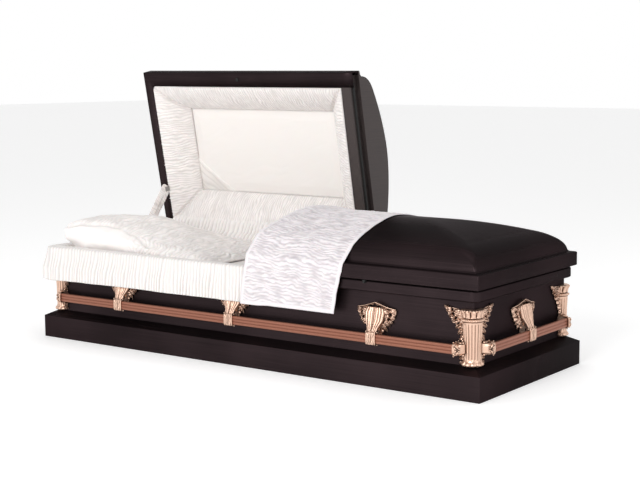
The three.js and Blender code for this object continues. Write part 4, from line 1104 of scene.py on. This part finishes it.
def makeBodyLining(name, cadNode, fromRun, toRun, section, place3d, seed):
    columns = round((toRun - fromRun) / bodyLining["cell"])

    def place(u, v):
        out, z = section[round(v * len(section)) % len(section)]
        run = mix(fromRun, toRun, u)
        show = ease((z - 0.343) / 0.008) if out < section[0][0] + 0.006 else 0
        ends = ease(min(u, 1 - u) * (toRun - fromRun) / 0.02)
        folds = gather(run, z, bodyLining["period"], seed)
        # crest: painted shade in the valleys of the gathers where they show
        return place3d(run, out - bodyLining["fold"] * show * ends * folds, z), mix(0.4, folds, show)

    obj = newObject(name, closeUp(clothGrid(columns, len(section), place)), liningCloth, 60)
    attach(obj, "casket_body")
    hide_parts(cadNode)


def makeBodyLinings():
    s = bodyLining
    side = liningSection(s["inner"], s["outer"], s["foot"], s["top"])
    makeBodyLining("liningFront", "lining_front", s["fromX"], s["toX"], side,
                   lambda run, out, z: Vector((run, -out, z)), 2.1)
    makeBodyLining("liningBack", "lining_back", s["fromX"], s["toX"], side,
                   lambda run, out, z: Vector((run, out, z)), 6.4)
    head = liningSection(*s["head"], s["endFoot"], s["top"])
    makeBodyLining("liningHead", "lining_head", -s["endHalf"], s["endHalf"], head,
                   lambda run, out, z: Vector((-out, run, z)), 9.6)
    foot = liningSection(*s["footEnd"], s["endFoot"], s["top"])
    makeBodyLining("liningFoot", "lining_foot", -s["endHalf"], s["endHalf"], foot,
                   lambda run, out, z: Vector((out, run, z)), 11.2)


makeBodyLinings()
makeHingeApron()
print("body lining done")


# bed and pillow

bedShape = {"fromX": -0.9815, "toX": 1.0000, "halfY": 0.3183, "low": 0.2455, "high": 0.3446,
            "round": 0.020, "cuts": 63}


def makeBed():
    s = bedShape
    halfX, middleX = (s["toX"] - s["fromX"]) / 2, (s["toX"] + s["fromX"]) / 2
    bm = bmesh.new()
    bmesh.ops.create_cube(bm, size=2)
    bmesh.ops.subdivide_edges(bm, edges=bm.edges, cuts=s["cuts"], use_grid_fill=True)
    crest = bm.verts.layers.float.new("crest")
    for v in bm.verts:
        x, y, z = v.co
        rx, ry = (1 - abs(x)) * halfX, (1 - abs(y)) * s["halfY"]
        edge = min(min(rx, ry) / s["round"], 1)
        drop = s["round"] * 0.5 * (1 - math.sqrt(max(0, 1 - (1 - edge) ** 2)))
        point = Vector((middleX + x * halfX, y * s["halfY"], mix(s["low"], s["high"], (z + 1) / 2)))
        if z > 0.99:
            point.z -= drop + 0.0018 * ease(edge) * (1 - gather(point.x + point.y * 0.3, point.y, 0.11, 1.1))
        v.co = point
        v[crest] = 0.55 + 0.4 * fbm(point.x * 9, point.y * 9, 0.3)
    obj = newObject("bedCover", bm, plainCloth)
    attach(obj, "casket_body")
    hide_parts("mattress")


makeBed()

pillowShape = {"head": -0.9800, "overhang": 0.048, "foot": -0.2380, "halfY": 0.3090, "base": 0.3458,
               "rimZ": 0.388, "corner": 24.0,
               "crest": [(0.0, 0.138), (0.08, 0.148), (0.20, 0.152), (0.34, 0.148), (0.44, 0.134),
                         (0.54, 0.106), (0.66, 0.068), (0.78, 0.044), (0.90, 0.026), (1.0, 0.010)],
               "front": [(0.0, 0.118), (0.10, 0.132), (0.24, 0.135), (0.345, 0.128), (0.455, 0.104),
                         (0.61, 0.060), (0.70, 0.042), (0.85, 0.020), (1.0, 0.005)],
               "back": [(0.0, 0.080), (0.15, 0.052), (0.28, 0.026), (0.42, 0.010), (0.60, 0.006),
                        (1.0, 0.005)],
               "crestY": [(0.0, -0.02), (0.30, -0.06), (0.50, -0.13), (1.0, -0.16)],
               "backReach": [(0.0, 1.0), (0.45, 0.97), (0.75, 0.93), (1.0, 0.88)],
               "around": 160, "rows": 96, "lean": 0.018, "voxel": 0.0075, "pressure": 4.0, "frames": 20,
               "cap": 0.014, "sideY": 0.3125, "headX": -0.9797, "keep": 0.25}


def readTable(table, t):
    for (a, va), (b, vb) in zip(table, table[1:]):
        if t <= b:
            return mix(va, vb, ease((t - a) / (b - a)) * 0.5 + 0.5 * (t - a) / (b - a))
    return table[-1][1]


def pillowTop(x, y):
    s = pillowShape
    t = min(max((x - s["head"]) / (s["foot"] - s["head"]), 0), 1)
    crestY = readTable(s["crestY"], t)
    side = "front" if y < crestY else "back"
    reach = s["halfY"] + (crestY if side == "front" else -crestY)
    away = min(abs(y - crestY) / reach, 1)
    edge, crest = readTable(s[side], t), readTable(s["crest"], t)
    return edge + (crest - edge) * (1 - away ** (2.4 if side == "front" else 1.35))


def pillowForm():
    s = pillowShape

    def place(u, v):
        step = round(u * s["around"]) % s["around"]  # the two ends of the ring must meet
        ring = (step + 0.5) / s["around"] * 2 * math.pi
        p = 2 / s["corner"]
        c, n = math.cos(ring), math.sin(ring)
        ex, ey = math.copysign(abs(c) ** p, c), math.copysign(abs(n) ** p, n)
        middle, half = (s["head"] + s["foot"]) / 2, (s["foot"] - s["head"]) / 2
        reach = v / 0.25 if v < 0.25 else 1 if v < 0.5 else 1 - (v - 0.5) / 0.5
        rise = 0 if v < 0.25 else (v - 0.25) / 0.25 if v < 0.5 else 1
        x, y = middle + half * ex * reach, s["halfY"] * ey * reach
        if y > 0:
            y *= readTable(s["backReach"], (x - s["head"]) / (s["foot"] - s["head"]))
        z = s["base"] + pillowTop(x, y) * rise
        over = ease((z - s["rimZ"]) / 0.03) * ease((reach - 0.8) / 0.2)
        x -= s["overhang"] * over * ease((-ex - 0.6) / 0.35) * ease((-0.10 - y) / 0.08)
        y -= s["lean"] * over * ease((-ey - 0.6) / 0.35)
        return Vector((x, y, z))

    bm = shapedGrid(s["around"], s["rows"], place, 0.0004)
    bmesh.ops.recalc_face_normals(bm, faces=bm.faces)
    return bm


def applied(obj):
    graph = bpy.context.evaluated_depsgraph_get()
    graph.update()
    mesh = bpy.data.meshes.new_from_object(obj.evaluated_get(graph), depsgraph=graph)
    obj.modifiers.clear()
    obj.data = mesh
    return obj


def makePillow():
    s = pillowShape
    obj = newObject("pillowCover", pillowForm(), liningCloth)
    remesh = obj.modifiers.new("remesh", "REMESH")
    remesh.mode = "VOXEL"
    remesh.voxel_size = s["voxel"]
    applied(obj)
    before = [v.co.copy() for v in obj.data.vertices]
    cloth = obj.modifiers.new("cloth", "CLOTH")
    cloth.settings.use_pressure = True
    cloth.settings.uniform_pressure_force = s["pressure"]
    cloth.settings.effector_weights.gravity = 0
    cloth.settings.quality = 4
    cloth.point_cache.frame_start = 1
    cloth.point_cache.frame_end = s["frames"]
    for frameNumber in range(1, s["frames"] + 1):
        scene.frame_set(frameNumber)
    applied(obj)
    scene.frame_set(1)
    for v, was in zip(obj.data.vertices, before):
        move = v.co - was
        if move.length > s["cap"]:
            move *= s["cap"] / move.length
        v.co = was + move
    smooth = obj.modifiers.new("smooth", "SMOOTH")
    smooth.factor = 0.5
    smooth.iterations = 6
    finer = obj.modifiers.new("finer", "SUBSURF")
    finer.levels = finer.render_levels = 1
    applied(obj)
    shapePillowCloth(obj)
    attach(obj, "casket_body")
    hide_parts("pillow")
    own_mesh(obj)


def shapePillowCloth(obj):
    s = pillowShape
    bm = bmesh.new()
    bm.from_mesh(obj.data)
    bm.normal_update()
    crest = bm.verts.layers.float.new("crest")
    for v in bm.verts:
        x, y, z = v.co
        t = (x - s["head"]) / (s["foot"] - s["head"])
        front = s["base"] + readTable(s["front"], min(max(t, 0), 1))
        wall = ease((-y - 0.235) / 0.05)
        plain = ease((0.56 - t) / 0.20) * wall * ease((front + 0.012 - z) / 0.02)
        plain = max(plain, 0.8 * ease((0.10 - t) / 0.06))
        ribs = mix(0.0030, 0.0068, ease((t - 0.22) / 0.4)) * (1 - 0.93 * plain)
        bent = x + 0.16 * (y + 0.3) * ease((t - 0.25) / 0.5)
        folds = gather(bent, y + z * 1.3, 0.0185, 2.9)
        push = ribs * (folds - 0.5) + 0.0016 * (1 - 0.7 * plain) * gather(x * 0.8 + z, y, 0.008, 5.5)
        push += 0.006 * fbm(x * 6, y * 6, z * 6)
        seam = math.exp(-((z - front) / 0.0055) ** 2) * ease((0.62 - t) / 0.05) * wall
        push -= 0.006 * seam
        if z < s["base"] + 0.012:
            push = min(push, 0)
        v.co += v.normal * push
        v.co.z = max(v.co.z, s["base"] - 0.0004)
        if v.co.z < s["rimZ"]:
            v.co.y = min(max(v.co.y, -s["sideY"]), s["sideY"])
            v.co.x = max(v.co.x, s["headX"])
        # crest: painted shade in the valleys of the ribs and along the seam; the plain wall stays light
        v[crest] = mix(0.25 + 0.65 * folds, 0.95, plain) * (1 - 0.6 * seam)
    bm.to_mesh(obj.data)
    bm.free()
    for face in obj.data.polygons:
        face.use_smooth = True


makePillow()
print("bed and pillow done")


# skirt over the rim

skirtShape = {"splitX": 0.1045, "cornerRound": 0.012, "backY": 0.3360, "hem": 0.2500, "flare": (0.012, 0.023),
              "section": [(-0.0190, 0.3500), (-0.0185, 0.3690), (-0.0160, 0.3800), (-0.0080, 0.3850),
                          (0.0100, 0.3860), (0.0240, 0.3862), (0.0310, 0.3830), (0.0335, 0.3760)],
              "fold": (0.0012, 0.0050), "period": 0.0165, "headBulge": 0.014, "armSide": -0.0022,
              "cornerRun": 0.055, "cell": 0.0024, "rows": 46, "wall": 0.0010, "keep": 0.955}


def makeSkirt():
    s, c = skirtShape, casket
    r = s["cornerRound"]
    frontRun = s["splitX"] + c["panelX"] - r
    arcRun = s["cornerRun"]
    headRun = c["panelY"] + s["backY"] - r
    total = frontRun + arcRun + headRun

    def edge(run, out):
        if run < frontRun:
            return Vector((s["splitX"] - run, -c["panelY"] - out))
        if run < frontRun + arcRun:
            angle = math.pi / 2 * (run - frontRun) / arcRun
            way = Vector((-math.sin(angle), -math.cos(angle)))
            return Vector((r - c["panelX"], r - c["panelY"])) + way * max(out + r, 0.0005)
        return Vector((-c["panelX"] - out, -c["panelY"] + r + run - frontRun - arcRun))

    def place(u, v):
        run = u * total
        flare = mix(*s["flare"], ease(run / frontRun))
        hang = [(0.0335 + flare * 0.3, 0.339), (0.0310 + flare * 0.95, 0.300), (0.0310 + flare, s["hem"])]
        out, z = alongPath(s["section"] + hang, v)
        y = run - frontRun - arcRun - c["panelY"] + r
        besideArm = ease((y + 0.15) / 0.03) * (1 - ease((y - 0.20) / 0.03))
        out = mix(out, max(out, s["armSide"]), besideArm)  # leaves the stay arm its room
        low = ease((0.378 - z) / 0.12)
        over = ease((v - 0.20) / 0.12)
        fold = drape(run, (0.38 - z), s["period"], 1.9)
        out += mix(*s["fold"], low) * (fold + 0.25) * over + 0.0011 * gather(run, z, 0.0065, 8.2) * over
        if v < 0.5:
            z += 0.0009 * over * (fold - 1)
        z += low * (0.0016 * fold + 0.0020 * fbm(run * 9, 0.5))
        bulge = s["headBulge"] * ease((run - frontRun * 0.86) / (frontRun * 0.14)) * over
        spot = edge(run, out + bulge)
        # crest: painted shade in the valleys of the drape, painted light on its ridges
        return Vector((spot.x, spot.y, z)), 0.36 + 0.50 * fold * mix(0.6, 1, low)

    bm = clothGrid(round(total / s["cell"]), s["rows"], place, 0)
    bmesh.ops.recalc_face_normals(bm, faces=bm.faces)
    outer = max(bm.faces, key=lambda f: -f.calc_center_median().y)
    if outer.normal.y > 0:
        bmesh.ops.reverse_faces(bm, faces=bm.faces)
    area = clothArea(bm)
    obj = newObject("rimSkirt", bm, liningCloth)
    addWall(obj, s["wall"], even=False)
    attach(obj, "casket_body")
    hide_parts("skirt")
    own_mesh(obj)


makeSkirt()
print("skirt done")


# throw over the foot lid

throwShape = {"left": [(0.0, 0.027), (0.125, 0.036), (0.167, 0.043), (0.208, 0.050), (0.25, 0.056),
                       (0.333, 0.061), (0.417, 0.069), (0.5, 0.074), (0.75, 0.072), (1.0, 0.068)],
              "right": [(0.0, 0.453), (0.083, 0.464), (0.167, 0.481), (0.208, 0.490), (0.25, 0.497),
                        (0.333, 0.503), (0.375, 0.505), (0.458, 0.499), (0.583, 0.491), (0.708, 0.478),
                        (0.80, 0.470), (1.0, 0.468)],
              "far": 0.507, "hem": 0.2460, "backY": 0.190, "clear": 0.0030, "puff": 0.012,
              "puffRun": 0.13, "underTurn": 0.050, "fold": 0.0042, "period": 0.0125, "hemWidth": 0.014,
              "overSkirt": 0.014, "cell": 0.0023, "columns": 84, "turned": 12, "wall": 0.0012,
              "keep": 0.826}


def throwSection():
    s = throwShape
    outline = [(-(casket["rimY"] - inset), z) for inset, z in lidProfile()[3:]]
    outline += [(-y, z) for y, z in reversed(outline[:-1])]
    upper = []
    for point in outline:  # cloth spans the hollows: keep only what bulges out
        while len(upper) > 1:
            (ax, az), (bx, bz) = upper[-2], upper[-1]
            if (bx - ax) * (point[1] - az) - (bz - az) * (point[0] - ax) < 0:
                break
            upper.pop()
        upper.append(point)
    section = [(-casket["rimY"], s["hem"]), (-casket["rimY"], 0.340)]
    section += [p for p in upper if p[0] < s["backY"] + 0.02]
    return section


def makeThrow():
    s = throwShape
    section = throwSection()
    length = sum(math.dist(a, b) for a, b in zip(section, section[1:]))
    share = 1.0
    while alongPath(section, share)[0] > s["backY"]:
        share -= 0.001
    length *= share
    rows, columns, turned = round(length / s["cell"]), s["columns"], s["turned"]

    def place(u, v):
        i = round(u * columns)
        y, z = alongPath(section, v * share)
        ahead = alongPath(section, min(v * share + 0.012, 1))
        behind = alongPath(section, max(v * share - 0.012, 0))
        way = Vector((ahead[0] - behind[0], ahead[1] - behind[1])).normalized()
        normal = Vector((-way.y, way.x))
        down = ease((0.42 - z) / 0.17)
        left = readTable(s["left"], v)
        right = readTable(s["right"], v) - 0.002 * fbm(v * 6, 3.1)
        if i < turned:
            back = (turned - i) / turned
            x, lift = left + s["underTurn"] * back, -0.011 * math.sin(math.pi / 2 * min(1, back * 3.5))
            t = 0.0
        else:
            t = (i - turned) / (columns - turned)
            x, lift = mix(left, right, t), 0.0
        fromLeft = x - left
        raised = s["puff"] * (1 - 0.75 * down) * (1 - ease(fromLeft / s["puffRun"]))
        run = v * length
        hem = min(fromLeft, right - x, run) if i >= turned else 0.0
        smooth = ease((hem - s["hemWidth"] * 0.7) / (s["hemWidth"] * 0.6))
        halfHem = s["hemWidth"] / 2
        rolled = 0.0026 * math.sqrt(max(0.0, 1 - ((hem - halfHem) / halfHem) ** 2))
        folds = s["fold"] * smooth * gather(run + 0.12 * x, x, s["period"], 3.7)
        folds += 0.0008 * gather(run, x, 0.005, 8.1) * (0.35 + 0.65 * smooth)
        sway = 0.0030 * smooth * fbm(run * 5, x * 4, 1.2) * (0.4 + down)
        overSkirt = s["overSkirt"] * down * (1 - ease((x - 0.10) / 0.05))
        out = s["clear"] + raised + lift + rolled + folds + max(sway, -0.002) + overSkirt
        out = max(out, s["clear"] * 0.6) if fromLeft > casket["splitX"] - left - 0.002 else out
        # crest: painted shade in the valleys of the crinkles; the smooth hem stays light
        crest = mix(1.0, folds / s["fold"], smooth)
        return Vector((x, y + normal.x * out, z + normal.y * out)), crest

    bm = clothGrid(columns, rows, place, 0)
    faceTowards(bm, Vector((0, -0.5, 1)))
    area = clothArea(bm)
    obj = newObject("throwCloth", bm, throwCloth)
    addWall(obj, s["wall"], even=False)
    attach(obj, "foot_lid")
    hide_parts("throw")
    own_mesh(obj)


makeThrow()
print("throw done")


# sleeve of the stay arm

sleeveShape = {"pivot": (0.3126, 0.5768), "foot": (0.1553, 0.3635), "middleX": -1.0075,
               "halfWide": 0.0260, "halfThick": 0.0062, "beyond": (0.018, 0.014), "fold": 0.0022,
               "period": 0.012, "columns": 40, "rows": 120, "keep": 0.4}


def makeSleeve():
    s = sleeveShape
    pivot, foot = Vector((0, *s["pivot"])), Vector((0, *s["foot"]))
    along = (foot - pivot).normalized()
    side = along.cross(Vector((1, 0, 0)))
    start, end = pivot - along * s["beyond"][0], foot + along * s["beyond"][1]
    length = (end - start).length

    def place(u, v):
        angle = 2 * math.pi * u
        run = v * length
        closed = math.sqrt(max(0.0, 1 - max(0, abs(v - 0.5) * 2 - 0.93) ** 2 / 0.0049))
        puff = gather(run, u * 0.05, s["period"], 4.2)
        wide = (s["halfWide"] + 0.002 * fbm(run * 20, 2.2) + s["fold"] * puff) * closed
        thick = (s["halfThick"] + s["fold"] * 0.35 * puff) * closed
        spot = start + along * run + side * wide * math.sin(angle)
        # crest: painted shade between the puffs
        return spot + Vector((s["middleX"] + thick * math.cos(angle), 0, 0)), puff

    obj = newObject("staySleeve", closeUp(clothGrid(s["columns"], s["rows"], place)), liningCloth)
    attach(obj, "stay_arm")
    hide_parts("stay_arm")
    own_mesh(obj)


makeSleeve()
print("cloth done")
